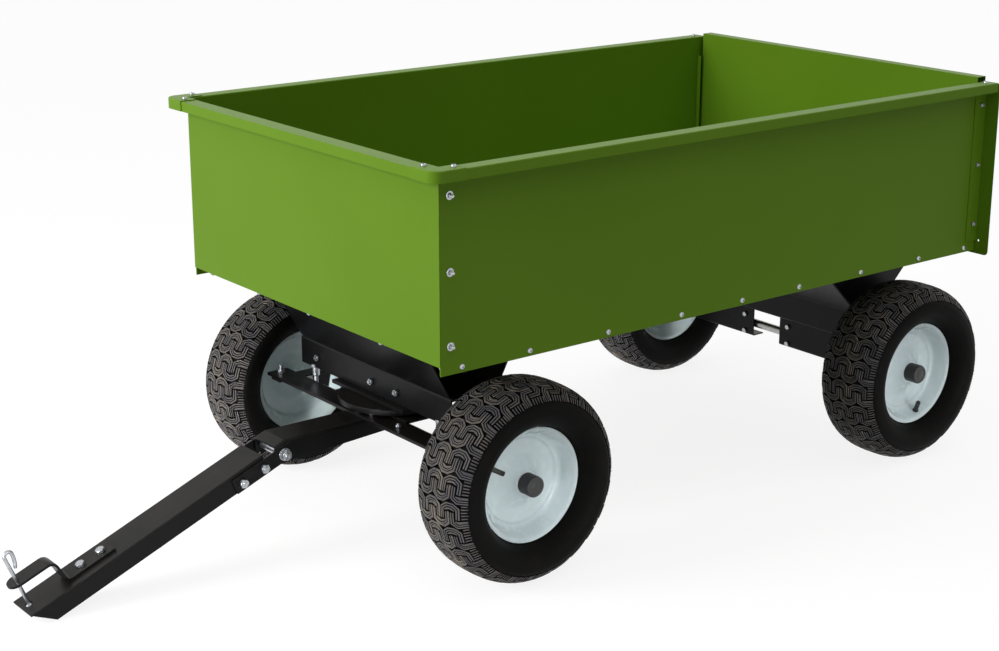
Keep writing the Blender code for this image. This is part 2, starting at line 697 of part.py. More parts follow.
def front_bolster(finish, parent):
    half = BOLSTER_HALF_WIDTH
    path = [(-half, BOLSTER_BOTTOM), (-half, BOLSTER_TOP), (half, BOLSTER_TOP), (half, BOLSTER_BOTTOM)]
    mesh = bmesh.new()
    reach = BOLSTER_HALF_LENGTH
    add_prism(mesh, [folded_outline(path, CHANNEL_PLATE)], -reach, reach, along_y)
    bolster = make_piece("front_bolster", mesh, finish, parent)
    low = BOLSTER_TOP - 2 * CHANNEL_PLATE
    high = BOLSTER_TOP + CHANNEL_PLATE
    combine(bolster, round_cutter(KINGPIN_BORE, low, high, along_z, segments=ROUND_SEGMENTS), "DIFFERENCE")


def turntable_plate(name, half_x, half_y, low, thickness, finish, parent):
    outline = box_outline(-half_x, half_x, -half_y, half_y)
    mesh = bmesh.new()
    add_prism(mesh, [outline, circle(KINGPIN_BORE, ROUND_SEGMENTS)], low, low + thickness, along_z)
    make_piece(name, mesh, finish, parent)


# Steering frame

def turntable_disc(finish, parent):
    """Greased disc with a raised hub below, so that the bolts on the cross bar clear it."""
    step = DISC_BOTTOM + DISC_HUB_HEIGHT
    profile = [(DISC_BOTTOM, KINGPIN_BORE), (DISC_BOTTOM, DISC_HUB_RADIUS), (step, DISC_HUB_RADIUS),
               (step, DISC_RADIUS), (DISC_TOP, DISC_RADIUS), (DISC_TOP, KINGPIN_BORE)]
    mesh = bmesh.new()
    add_turned(mesh, profile, ROUND_SEGMENTS, along_z)
    make_piece("turntable_disc", mesh, finish, parent)


def kingpin(finish, parent):
    head_top = LOWER_PLATE_BOTTOM - GAP
    head_bottom = head_top - KINGPIN_HEAD_HEIGHT
    nut_bottom = HANGER_BOTTOM + HANGER_PLATE + GAP
    nut_top = nut_bottom + KINGPIN_NUT_HEIGHT
    nut = hexagon(KINGPIN_NUT, ROUND_SEGMENTS)
    shank = circle(KINGPIN_RADIUS, ROUND_SEGMENTS)
    end = circle(KINGPIN_RADIUS * 0.85, ROUND_SEGMENTS)
    mesh = bmesh.new()
    sections = [(head_bottom, nut), (head_top, nut), (head_top, shank), (nut_bottom, shank),
                (nut_bottom, nut), (nut_top, nut), (nut_top, shank), (nut_top + 0.003, end)]
    add_stack(mesh, sections, along_z)
    make_piece("kingpin", mesh, finish, parent)


def front_cross_bar(finish, parent):
    outline = box_outline(BAR_FRONT - BAR_WIDTH, BAR_FRONT, -BAR_HALF_LENGTH, BAR_HALF_LENGTH)
    hole = circle(M12[0] + BOLT_PLAY, BOLT_SEGMENTS, BAR_MIDDLE, ROOT_BOLT_Y)
    mesh = bmesh.new()
    add_prism(mesh, [outline, hole], BAR_BOTTOM, BAR_TOP, along_z)
    make_piece("front_cross_bar", mesh, finish, parent)


def axle_arm(name, side, finish, parent):
    """Flat arm under the cross bar with an ear round the front axle."""
    top = BAR_BOTTOM - GAP
    low = AXLE_Z - ARM_EAR_BELOW_AXLE
    ear = [(-ARM_EAR_TOP, top), (-ARM_EAR_BOTTOM, low), (ARM_EAR_BOTTOM, low), (ARM_EAR_TOP, top)]
    hole = circle(BORE_RADIUS, AXLE_SEGMENTS, 0, AXLE_Z)
    mesh = bmesh.new()
    add_prism(mesh, [ear, hole], side * ARM_INNER, side * (ARM_INNER + CHANNEL_PLATE), along_y)
    arm = make_piece(name, mesh, finish, parent)
    strip = box_outline(ARM_REAR, BAR_FRONT, top - CHANNEL_PLATE, top)
    tool = bmesh.new()
    add_prism(tool, [strip], side * ARM_INNER, side * (ARM_INNER + ARM_WIDTH), along_y)
    combine(arm, tool, "UNION")


def root_side(inset):
    """Side view of the root channel, moved in by a wall thickness for its inside."""
    under_axle = AXLE_Z + AXLE_RADIUS + GAP
    fall = (under_axle - ROOT_FRONT_BOTTOM) / PIVOT_X
    rear_bottom = under_axle - fall * ROOT_REAR
    shoulder = ROOT_NOSE - ROOT_NOSE_LENGTH
    top = ROOT_TOP - inset
    if inset:
        run = inset * 2
        return [(ROOT_REAR - run, top), (shoulder - inset / 4, top), (ROOT_NOSE, top - ROOT_NOSE_DROP),
                (ROOT_NOSE + run, top - ROOT_NOSE_DROP - run), (ROOT_NOSE + run, ROOT_FRONT_BOTTOM - run),
                (ROOT_REAR - run, ROOT_FRONT_BOTTOM - run)]
    nose_radius = PIVOT_Z - ROOT_FRONT_BOTTOM
    nose = arc(PIVOT_X, PIVOT_Z, nose_radius, -75, -15, 4)
    return [(ROOT_REAR, top), (shoulder, top), (ROOT_NOSE, top - ROOT_NOSE_DROP)] + nose[::-1] + [
        (PIVOT_X - 0.001, ROOT_FRONT_BOTTOM), (ROOT_REAR, rear_bottom)]


def drawbar_root(finish, parent):
    """Channel under the cross bar that carries the drawbar's pivot."""
    mesh = bmesh.new()
    add_prism(mesh, [root_side(0)], -ROOT_HALF_WIDTH, ROOT_HALF_WIDTH, along_y)
    root = make_piece("drawbar_root", mesh, finish, parent)
    inside = ROOT_HALF_WIDTH - CHANNEL_PLATE
    hollow = bmesh.new()
    add_prism(hollow, [root_side(CHANNEL_PLATE)], -inside, inside, along_y)
    combine(root, hollow, "DIFFERENCE")
    reach = 2 * ROOT_HALF_WIDTH
    radius = M12[0] + PIVOT_PLAY
    combine(root, round_cutter(radius, -reach, reach, along_y, PIVOT_X, PIVOT_Z), "DIFFERENCE")
    low = ROOT_TOP - 2 * CHANNEL_PLATE
    high = ROOT_TOP + CHANNEL_PLATE
    cutter = round_cutter(M12[0] + BOLT_PLAY, low, high, along_z, BAR_MIDDLE, ROOT_BOLT_Y)
    combine(root, cutter, "DIFFERENCE")


def bolt(name, size, low, high, place, centre, finish, parent, washer=None):
    """Bolt with its nut: head below the station low, nut above the station high."""
    shank_radius, flats, head_height, nut_height = size
    shank = circle(shank_radius, BOLT_SEGMENTS, *centre)
    tip = circle(shank_radius * 0.8, BOLT_SEGMENTS, *centre)
    flat_head = hexagon(flats, BOLT_SEGMENTS, *centre)
    nut_seat = high + GAP
    sections = [(low - GAP - head_height, flat_head), (low - GAP, flat_head), (low - GAP, shank),
                (nut_seat, shank)]
    if washer:
        washer_radius, washer_height = washer
        disc = circle(washer_radius, BOLT_SEGMENTS, *centre)
        sections += [(nut_seat, disc), (nut_seat + washer_height, disc)]
        nut_seat += washer_height
    sections += [(nut_seat, flat_head), (nut_seat + nut_height, flat_head), (nut_seat + nut_height, shank),
                 (nut_seat + nut_height + shank_radius / 3, tip)]
    mesh = bmesh.new()
    add_stack(mesh, sections, place)
    make_piece(name, mesh, finish, parent)


def upside_down(place):
    """The same place with its stations counted downwards."""
    return lambda u, v, w: place(u, v, -w)


def pivot_bush(finish, parent):
    inside = ROOT_HALF_WIDTH - CHANNEL_PLATE - GAP
    bore = M12[0] + PIVOT_PLAY
    profile = [(-inside, bore), (-inside, BUSH_RADIUS), (inside, BUSH_RADIUS), (inside, bore)]
    mesh = bmesh.new()
    add_turned(mesh, profile, BOLT_SEGMENTS, lambda u, v, w: Vector((PIVOT_X + u, w, PIVOT_Z + v)))
    make_piece("pivot_bush", mesh, finish, parent)


# Drawbar, in the frame of its pivot: X runs down the tongue and Z stands square on it

def drawbar_tongue(finish, parent):
    """Inverted channel with its flanges cut back at 45 degrees at the tip."""
    half = TONGUE_HALF_WIDTH
    path = [(-half, TONGUE_BOTTOM), (-half, TONGUE_TOP), (half, TONGUE_TOP), (half, TONGUE_BOTTOM)]
    mesh = bmesh.new()
    add_prism(mesh, [folded_outline(path, CHANNEL_PLATE)], TONGUE_START, TONGUE_END, along_x)
    tongue = make_piece("drawbar_tongue", mesh, finish, parent)
    under_web = TONGUE_TOP - CHANNEL_PLATE
    spare = 0.010
    toe = bmesh.new()
    wedge = [(TONGUE_CORNER - spare, TONGUE_BOTTOM - spare), (TONGUE_END + spare, TONGUE_BOTTOM - spare),
             (TONGUE_END + spare, under_web), (TONGUE_END - CHANNEL_PLATE, under_web)]
    add_prism(toe, [wedge], -half - spare, half + spare, along_y)
    combine(tongue, toe, "DIFFERENCE")
    holes = bmesh.new()
    web = (under_web - CHANNEL_PLATE, TONGUE_TOP + CHANNEL_PLATE)
    add_prism(holes, [circle(PIN_HOLE_TONGUE, BOLT_SEGMENTS, PIN_STATION)], *web, along_z)
    for station in STRAP_BOLTS.values():
        add_prism(holes, [circle(M10[0] + BOLT_PLAY, BOLT_SEGMENTS, station)], *web, along_z)
    combine(tongue, holes, "DIFFERENCE")
    holes = bmesh.new()
    for station in FORK_BOLTS.values():
        add_prism(holes, [circle(M10[0] + BOLT_PLAY, BOLT_SEGMENTS, station)], -2 * half, 2 * half, along_y)
    combine(tongue, holes, "DIFFERENCE")


def fork_plate(name, side, finish, parent):
    inner = TONGUE_HALF_WIDTH + GAP
    outline = box_outline(FORK_REAR, FORK_FRONT, TONGUE_BOTTOM, FORK_TOP)
    loops = [outline, circle(M12[0] + PIVOT_PLAY, BOLT_SEGMENTS)]
    for station in FORK_BOLTS.values():
        loops.append(circle(M10[0] + BOLT_PLAY, BOLT_SEGMENTS, station))
    mesh = bmesh.new()
    add_prism(mesh, loops, side * inner, side * (inner + CHANNEL_PLATE), along_y)
    make_piece(name, mesh, finish, parent)


def hitch_strap(finish, parent):
    """Flat bar bolted to the tongue, bent up and forward to make the slot for the tractor's plate."""
    foot = TONGUE_TOP + GAP
    top_leg = foot + STRAP_OPENING
    path = [(PIN_STATION, top_leg), (STRAP_RISER_TOP, top_leg), (STRAP_RISER_FOOT, foot), (STRAP_REAR, foot)]
    bends = rounded_path(path, STRAP_BEND, 5)
    half = STRAP_HALF_WIDTH
    mesh = bmesh.new()
    add_prism(mesh, [folded_outline(bends, STRAP_THICKNESS)], -half, half, along_y)
    strap = make_piece("hitch_strap", mesh, finish, parent)
    tip = bmesh.new()
    rounded_end = arc(PIN_STATION, 0, half, -90, 90, 12) + [(PIN_STATION - half / 2, half),
                                                           (PIN_STATION - half / 2, -half)]
    add_prism(tip, [rounded_end], top_leg, top_leg + STRAP_THICKNESS, along_z)
    combine(strap, tip, "UNION")
    holes = bmesh.new()
    add_prism(holes, [circle(PIN_RADIUS + PIN_PLAY, BOLT_SEGMENTS, PIN_STATION)],
              top_leg - STRAP_THICKNESS, top_leg + 2 * STRAP_THICKNESS, along_z)
    for station in STRAP_BOLTS.values():
        add_prism(holes, [circle(M10[0] + BOLT_PLAY, BOLT_SEGMENTS, station)],
                  foot - STRAP_THICKNESS, foot + 2 * STRAP_THICKNESS, along_z)
    combine(strap, holes, "DIFFERENCE")


def hitch_pin(finish, parent):
    """Round pin standing on the ground through both holes, its top bent over into an open eye."""
    rear_edge = PIN_STATION + PIN_RADIUS
    foot = (rear_edge * math.sin(TONGUE_SLOPE) - PIVOT_Z) / math.cos(TONGUE_SLOPE) + GAP
    crown = PIN_TOP - PIN_RADIUS - PIN_LOOP_RADIUS
    path = [Vector((PIN_STATION, 0, foot)), Vector((PIN_STATION, 0, crown - PIN_LOOP_SIDE))]
    for s, h in arc(PIN_STATION - PIN_LOOP_RADIUS, crown, PIN_LOOP_RADIUS, 0, 180, 8):
        path.append(Vector((s, 0, h)))
    back = PIN_STATION - 2 * PIN_LOOP_RADIUS
    path.append(Vector((back, 0, crown - PIN_LOOP_SIDE / 2)))
    path.append(Vector((back + PIN_RADIUS / 2, 0, crown - PIN_LOOP_SIDE)))
    mesh = bmesh.new()
    add_tube(mesh, path, PIN_RADIUS, 10, Vector((0, 1, 0)))
    make_piece("hitch_pin", mesh, finish, parent)


# Rear frame

def rear_hanger(finish, parent):
    """Deep folded trough under the floor, from the skirt down to the axle carriers."""
    foot = REAR_HANGER_BOTTOM + HANGER_PLATE
    knee = HANGER_TOP - REAR_HANGER_SKIRT
    lean = REAR_HANGER_HALF_WIDTH - REAR_HANGER_FOOT
    half = [(REAR_HANGER_FOOT, foot), (REAR_HANGER_FOOT, knee - lean),
            (REAR_HANGER_HALF_WIDTH, knee), (REAR_HANGER_HALF_WIDTH, HANGER_TOP)]
    path = [(REAR_AXLE_X - x, z) for x, z in half[::-1]] + [(REAR_AXLE_X + x, z) for x, z in half]
    mesh = bmesh.new()
    reach = REAR_HANGER_HALF_LENGTH - GAP
    add_prism(mesh, [folded_outline(path, HANGER_PLATE)], -reach, reach, along_y)
    make_piece("rear_hanger", mesh, finish, parent)


def rear_hanger_plate(name, side, finish, parent):
    """End plate of the trough, reaching down past the axle that it carries."""
    wide = REAR_HANGER_HALF_WIDTH + HANGER_PLATE
    narrow = REAR_HANGER_FOOT + HANGER_PLATE
    skirt = HANGER_TOP - REAR_HANGER_SKIRT
    knee = skirt - (wide - narrow)
    half = [(narrow, REAR_PLATE_BOTTOM), (narrow, knee), (wide, skirt), (wide, HANGER_TOP)]
    outline = [(REAR_AXLE_X - x, z) for x, z in half[::-1]] + [(REAR_AXLE_X + x, z) for x, z in half]
    hole = circle(BORE_RADIUS, AXLE_SEGMENTS, REAR_AXLE_X, AXLE_Z)
    mesh = bmesh.new()
    near = side * REAR_HANGER_HALF_LENGTH
    add_prism(mesh, [outline, hole], near, near + side * HANGER_PLATE, along_y)
    make_piece(name, mesh, finish, parent)


def rear_axle_carrier(name, side, finish, parent):
    """Channel that opens backwards with the axle running inside it."""
    half = CARRIER_HALF_WIDTH
    path = [(REAR_AXLE_X - half, CARRIER_TOP), (REAR_AXLE_X + half, CARRIER_TOP),
            (REAR_AXLE_X + half, CARRIER_BOTTOM), (REAR_AXLE_X - half, CARRIER_BOTTOM)]
    mesh = bmesh.new()
    start = side * CARRIER_INNER_END
    end = side * (REAR_HANGER_HALF_LENGTH - GAP)
    add_prism(mesh, [folded_outline(path, HANGER_PLATE)], start, end, along_y)
    make_piece(name, mesh, finish, parent)


# Assembly

def make_finishes():
    return {
        "green_paint": make_finish("green_paint", (0.16, 0.33, 0.035), 0.0, 0.35),
        "black_paint": make_finish("black_paint", (0.012, 0.012, 0.012), 0.0, 0.25),
        "tyre": make_finish("tyre", (0.018, 0.017, 0.016), 0.0, 0.75),
        "rim_paint": make_finish("rim_paint", (0.52, 0.62, 0.64), 0.0, 0.35),
        "steel": make_finish("steel", (0.45, 0.44, 0.42), 1.0, 0.35),
        "zinc": make_finish("zinc", (0.62, 0.62, 0.60), 1.0, 0.28),
        "plastic": make_finish("plastic", (0.015, 0.015, 0.016), 0.0, 0.45),
    }


def build_tray(finishes, parent):
    green = finishes["green_paint"]
    floor_panel(green, parent)
    front_panel(green, parent)
    for name, side in (("left", 1), ("right", -1)):
        side_panel(name + "_side_panel", side, green, parent)
        corner_cap("front_" + name + "_corner_cap", side, green, parent)
        rear_post("rear_" + name + "_post", side, green, parent)
        rear_guide("rear_" + name + "_guide", side, green, parent)


def build_front_frame(finishes, parent):
    black = finishes["black_paint"]
    front_hanger(black, parent)
    front_bolster(black, parent)
    turntable_plate("turntable_upper_plate", UPPER_PLATE_HALF_WIDTH, UPPER_PLATE_HALF_LENGTH,
                    UPPER_PLATE_BOTTOM, UPPER_PLATE_THICKNESS, black, parent)


def build_steering(finishes, parent):
    black = finishes["black_paint"]
    turntable_plate("turntable_lower_plate", LOWER_PLATE_HALF_WIDTH, LOWER_PLATE_HALF_LENGTH,
                    LOWER_PLATE_BOTTOM, LOWER_PLATE_THICKNESS, black, parent)
    turntable_disc(black, parent)
    kingpin(finishes["steel"], parent)
    front_cross_bar(black, parent)
    axle_arm("axle_arm_left", 1, black, parent)
    axle_arm("axle_arm_right", -1, black, parent)
    axle("front_axle", 0.0, finishes["steel"], parent)
    drawbar_root(black, parent)
    bolt("drawbar_root_bolt", M12, -BAR_TOP, CHANNEL_PLATE - ROOT_TOP, upside_down(along_z),
         (BAR_MIDDLE, ROOT_BOLT_Y), finishes["zinc"], parent)
    fork_face = TONGUE_HALF_WIDTH + GAP + CHANNEL_PLATE
    bolt("pivot_bolt", M12, -fork_face, fork_face, along_y, (PIVOT_X, PIVOT_Z), finishes["zinc"], parent,
         washer=(PIVOT_WASHER_RADIUS, PIVOT_WASHER))
    pivot_bush(finishes["zinc"], parent)


def build_drawbar(finishes, parent):
    black = finishes["black_paint"]
    drawbar_tongue(black, parent)
    fork_plate("fork_plate_left", 1, black, parent)
    fork_plate("fork_plate_right", -1, black, parent)
    hitch_strap(black, parent)
    fork_face = TONGUE_HALF_WIDTH + GAP + CHANNEL_PLATE
    for name, station in FORK_BOLTS.items():
        bolt(name, M10, -fork_face, fork_face, along_y, (station, 0), finishes["zinc"], parent)
    strap_face = TONGUE_TOP + GAP + STRAP_THICKNESS
    for name, station in STRAP_BOLTS.items():
        bolt(name, M10, -strap_face, CHANNEL_PLATE - TONGUE_TOP, upside_down(along_z), (station, 0),
             finishes["zinc"], parent)


def build_rear_frame(finishes, parent):
    black = finishes["black_paint"]
    rear_hanger(black, parent)
    for name, side in (("left", 1), ("right", -1)):
        rear_hanger_plate("rear_hanger_plate_" + name, side, black, parent)
        rear_axle_carrier("rear_axle_carrier_" + name, side, black, parent)
    axle("rear_axle", REAR_AXLE_X, finishes["steel"], parent)


def centre_on_outline(trailer):
    """Moves the trailer along X so that the middle of its length is over the origin."""
    bpy.context.view_layer.update()
    reach = []
    for piece in bpy.data.objects:
        if piece.type == "MESH":
            reach += [(piece.matrix_world @ vertex.co).x for vertex in piece.data.vertices]
    trailer.location.x = -(min(reach) + max(reach)) / 2
    bpy.context.view_layer.update()


def main():
    for leftover in list(bpy.data.objects):
        bpy.data.objects.remove(leftover, do_unlink=True)
    finishes = make_finishes()
    trailer = make_empty("trailer", (0, 0, 0))
    steering = make_empty("steering_axis", (0, 0, 0), trailer)
    drawbar = make_empty("drawbar_pivot", (PIVOT_X, 0, PIVOT_Z), steering, TONGUE_SLOPE)
    pin_slide = make_empty("pin_slide", (0, 0, 0), drawbar)
    gate_slide = make_empty("gate_slide", (0, 0, 0), trailer)
    build_tray(finishes, trailer)
    build_front_frame(finishes, trailer)
    build_rear_frame(finishes, trailer)
    build_steering(finishes, steering)
    build_drawbar(finishes, drawbar)
    hitch_pin(finishes["zinc"], pin_slide)
    tailgate(finishes["green_paint"], gate_slide)
    for end, x, parent in (("front", 0.0, steering), ("rear", REAR_AXLE_X, trailer)):
        for name, side in (("left", 1), ("right", -1)):
            place = end + "_" + name
            hub = make_empty(place + "_hub", (x, side * WHEEL_HALF_TRACK, AXLE_Z), parent)
            wheel(place, side, finishes, hub)
    centre_on_outline(trailer)


main()
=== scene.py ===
"""Looks of a garden tractor trailer: green folded tray, black frame, block-tread tyres and pale rims."""

import json
import math

import bmesh
import bpy
from mathutils import Matrix, Vector

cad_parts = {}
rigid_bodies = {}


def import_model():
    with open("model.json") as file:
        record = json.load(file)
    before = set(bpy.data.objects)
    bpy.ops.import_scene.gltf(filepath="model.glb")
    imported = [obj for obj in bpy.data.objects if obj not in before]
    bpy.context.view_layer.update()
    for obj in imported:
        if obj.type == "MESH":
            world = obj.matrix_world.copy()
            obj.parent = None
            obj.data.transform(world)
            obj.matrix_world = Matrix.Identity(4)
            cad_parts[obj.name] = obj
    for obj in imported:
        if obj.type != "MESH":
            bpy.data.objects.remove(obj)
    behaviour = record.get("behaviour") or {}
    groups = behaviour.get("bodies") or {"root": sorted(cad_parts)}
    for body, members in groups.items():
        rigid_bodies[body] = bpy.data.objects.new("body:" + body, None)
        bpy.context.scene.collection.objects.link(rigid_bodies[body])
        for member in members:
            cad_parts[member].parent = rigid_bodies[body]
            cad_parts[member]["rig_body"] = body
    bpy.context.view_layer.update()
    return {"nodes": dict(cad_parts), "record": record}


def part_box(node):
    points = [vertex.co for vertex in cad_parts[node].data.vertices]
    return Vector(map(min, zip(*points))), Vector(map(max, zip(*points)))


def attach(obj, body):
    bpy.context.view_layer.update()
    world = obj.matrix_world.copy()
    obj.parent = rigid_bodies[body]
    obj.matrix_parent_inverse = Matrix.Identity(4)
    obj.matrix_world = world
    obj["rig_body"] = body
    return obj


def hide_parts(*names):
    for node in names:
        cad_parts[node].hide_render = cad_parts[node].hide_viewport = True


for leftover in list(bpy.data.objects):
    bpy.data.objects.remove(leftover, do_unlink=True)

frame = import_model()
NODES = frame["nodes"]
BODY_OF = {node: piece["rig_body"] for node, piece in NODES.items()}
SLOT_OF = {row["node"]: row["material_slot"] for row in frame["record"]["subparts"]}

# Places, in metres. X runs forward, Y to the left, Z up; the kingpin gives the trailer's own X origin.


def middle(node):
    low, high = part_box(node)
    return (low + high) / 2


KINGPIN_X = middle("kingpin").x
REAR_X = middle("rear_axle").x - KINGPIN_X
TYRE_RADIUS = 0.203
AXLE_Z = TYRE_RADIUS
HUB_Y = 0.4064
TRAY_FRONT = 0.214
TRAY_HALF_WIDTH = 0.4505
TRAY_TOP = 0.854
SHEET = 0.0015
CAP_LIFT = 0.0018
RIM_OUTSIDE = 0.485
RIM_FACE = 0.2485
PIVOT_X = 0.303
PIVOT_Z = 0.2155
SLOPE = 0.3781013344361174
TRAILER = Matrix.Translation((KINGPIN_X, 0, 0))
DRAWBAR = Matrix.Translation((KINGPIN_X + PIVOT_X, 0, PIVOT_Z)) @ Matrix.Rotation(SLOPE, 4, "Y")
HIDDEN_GAP = 0.0003

# Sockets of a Mix node that mixes colours.
MIX_FACTOR, MIX_FIRST, MIX_SECOND, MIX_RESULT = 0, 6, 7, 2


# Node materials

class Finish:
    """A material with its Principled shader and short ways to add nodes."""

    def __init__(self, name):
        self.material = bpy.data.materials.new(name)
        self.material.use_nodes = True
        self.tree = self.material.node_tree
        self.shader = self.tree.nodes["Principled BSDF"]
        self.coordinates = self.node("ShaderNodeTexCoord").outputs["Object"]

    def node(self, kind):
        return self.tree.nodes.new(kind)

    def link(self, source, target):
        self.tree.links.new(source, target)

    def drive(self, name, source):
        self.link(source, self.shader.inputs[name])

    def feed(self, socket, value):
        """Gives a socket a number, a colour or another node's output."""
        if isinstance(value, (int, float)):
            socket.default_value = value
        elif isinstance(value, tuple):
            socket.default_value = (*value, 1)
        else:
            self.link(value, socket)

    def set(self, **values):
        for name, value in values.items():
            self.shader.inputs[name.replace("_", " ")].default_value = value

    def noise(self, scale, detail=3.0, roughness=0.5, stretch=None):
        texture = self.node("ShaderNodeTexNoise")
        texture.inputs["Scale"].default_value = scale
        texture.inputs["Detail"].default_value = detail
        texture.inputs["Roughness"].default_value = roughness
        source = self.coordinates
        if stretch:
            mapping = self.node("ShaderNodeMapping")
            mapping.inputs["Scale"].default_value = stretch
            self.link(source, mapping.inputs["Vector"])
            source = mapping.outputs["Vector"]
        self.link(source, texture.inputs["Vector"])
        return texture.outputs["Fac"]

    def ramp(self, source, stops):
        """Colour ramp; a stop's colour is three channels or one grey value."""
        ramp = self.node("ShaderNodeValToRGB")
        band = ramp.color_ramp
        while len(band.elements) < len(stops):
            band.elements.new(1.0)
        for element, (position, colour) in zip(band.elements, stops):
            element.position = position
            element.color = (*colour, 1) if len(colour) == 3 else (colour[0],) * 3 + (1,)
        self.link(source, ramp.inputs["Fac"])
        return ramp.outputs["Color"]

    def mix(self, factor, first, second):
        mix = self.node("ShaderNodeMix")
        mix.data_type = "RGBA"
        for index, value in ((MIX_FACTOR, factor), (MIX_FIRST, first), (MIX_SECOND, second)):
            self.feed(mix.inputs[index], value)
        return mix.outputs[MIX_RESULT]

    def facing(self, axis):
        """How far a face looks along an axis, from 0 to 1."""
        geometry = self.node("ShaderNodeNewGeometry")
        dot = self.node("ShaderNodeVectorMath")
        dot.operation = "DOT_PRODUCT"
        dot.inputs[1].default_value = axis
        self.link(geometry.outputs["Normal"], dot.inputs[0])
        clamp = self.node("ShaderNodeClamp")
        self.link(dot.outputs["Value"], clamp.inputs["Value"])
        return clamp.outputs["Result"]

    def product(self, first, second):
        multiply = self.node("ShaderNodeMath")
        multiply.operation = "MULTIPLY"
        for socket, value in zip(multiply.inputs, (first, second)):
            self.feed(socket, value)
        return multiply.outputs["Value"]

    def bumps(self, layers):
        """Adds bump layers of (height source, strength, distance in metres)."""
        normal = None
        for source, strength, distance in layers:
            bump = self.node("ShaderNodeBump")
            bump.inputs["Strength"].default_value = strength
            bump.inputs["Distance"].default_value = distance
            self.link(source, bump.inputs["Height"])
            if normal:
                self.link(normal, bump.inputs["Normal"])
            normal = bump.outputs["Normal"]
        self.drive("Normal", normal)


def green_paint():
    paint = Finish("green_powder_coat")
    tone = paint.noise(2.2, 2.0)
    fine = paint.noise(55.0, 4.0, 0.6)
    base = paint.ramp(tone, [(0.3, (0.150, 0.300, 0.014)), (0.7, (0.166, 0.324, 0.018))])
    # Upward faces are lightened towards a pale olive grey: partly dust, partly painted sheen of the light
    # from above.
    upward_lightening = paint.product(paint.facing((0, 0, 1)), 0.22)
    speckle = paint.ramp(fine, [(0.35, (0.0,)), (0.75, (1.0,))])
    colour = paint.mix(paint.product(upward_lightening, speckle), base, (0.30, 0.33, 0.20))
    paint.drive("Base Color", colour)
    paint.drive("Roughness", paint.ramp(fine, [(0.2, (0.34,)), (0.8, (0.44,))]))
    paint.set(Specular_IOR_Level=0.08)
    paint.bumps([(paint.noise(3.0, 1.0), 0.35, 0.0012), (paint.noise(900.0, 2.0), 0.10, 0.00006)])
    return paint.material


def black_paint():
    paint = Finish("black_powder_coat")
    fine = paint.noise(70.0, 4.0, 0.6)
    patches = paint.noise(9.0, 4.0, 0.65)
    upward = paint.facing((0, 0, 1))
    upward_lightening = paint.product(upward, paint.ramp(patches, [(0.30, (0.12,)), (0.75, (0.42,))]))
    colour = paint.mix(upward_lightening, (0.0040, 0.0040, 0.0045), (0.030, 0.026, 0.021))
    paint.drive("Base Color", colour)
    paint.drive("Roughness", paint.ramp(fine, [(0.2, (0.27,)), (0.8, (0.40,))]))
    paint.set(Specular_IOR_Level=0.14)
    paint.bumps([(paint.noise(14.0, 2.0), 0.25, 0.0006), (paint.noise(850.0, 2.0), 0.16, 0.00008)])
    return paint.material


def rubber(name, dark, dusty, low, high, rough, gloss):
    """Tyre rubber with brown dust where the patch noise runs from low to high."""
    finish = Finish(name)
    patches = finish.noise(26.0, 5.0, 0.7)
    grain = finish.noise(420.0, 3.0, 0.6)
    amount = finish.ramp(patches, [(low, (0.0,)), (high, (1.0,))])
    flecks = finish.ramp(grain, [(0.2, (0.45,)), (0.7, (1.0,))])
    finish.drive("Base Color", finish.mix(finish.product(amount, flecks), dark, dusty))
    finish.drive("Roughness", finish.ramp(grain, [(0.2, (rough - 0.06,)), (0.8, (rough + 0.06,))]))
    finish.set(Specular_IOR_Level=gloss)
    finish.bumps([(patches, 0.15, 0.0008), (grain, 0.25, 0.00015)])
    return finish.material


def rim_paint():
    paint = Finish("rim_enamel")
    patches = paint.noise(18.0, 5.0, 0.65)
    streaks = paint.noise(60.0, 3.0, 0.5)
    grime = paint.ramp(patches, [(0.52, (0.0,)), (0.80, (0.35,))])
    paint.drive("Base Color", paint.mix(grime, (0.740, 0.850, 0.870), (0.67, 0.76, 0.77)))
    paint.drive("Roughness", paint.ramp(streaks, [(0.2, (0.20,)), (0.8, (0.32,))]))
    paint.set(Specular_IOR_Level=0.30, Coat_Weight=0.10, Coat_Roughness=0.12)
    paint.bumps([(paint.noise(22.0, 2.0), 0.22, 0.0006), (paint.noise(700.0, 2.0), 0.10, 0.00006)])
    return paint.material


def plated(name, tint, rough, grain_stretch, metallic):
    """Bare or plated metal, clouded, with fine grain that can be stretched."""
    metal = Finish(name)
    cloud = metal.noise(140.0, 3.0, 0.6)
    grain = metal.noise(520.0, 2.0, 0.5, grain_stretch)
    darker = tuple(0.72 * channel for channel in tint)
    metal.drive("Base Color", metal.mix(metal.ramp(cloud, [(0.3, (0.0,)), (0.7, (1.0,))]), darker, tint))
    metal.drive("Roughness", metal.ramp(cloud, [(0.3, (rough - 0.06,)), (0.7, (rough + 0.10,))]))
    metal.set(Metallic=metallic)
    metal.bumps([(grain, 0.14, 0.0001)])
    return metal.material


def plastic():
    finish = Finish("black_plastic")
    grain = finish.noise(600.0, 2.0, 0.5)
    cloud = finish.noise(60.0, 3.0, 0.5)
    share = finish.ramp(cloud, [(0.35, (0.0,)), (0.7, (0.5,))])
    finish.drive("Base Color", finish.mix(share, (0.012, 0.012, 0.013), (0.030, 0.029, 0.027)))
    finish.drive("Roughness", finish.ramp(grain, [(0.2, (0.36,)), (0.8, (0.52,))]))
    finish.bumps([(grain, 0.18, 0.0001)])
    return finish.material


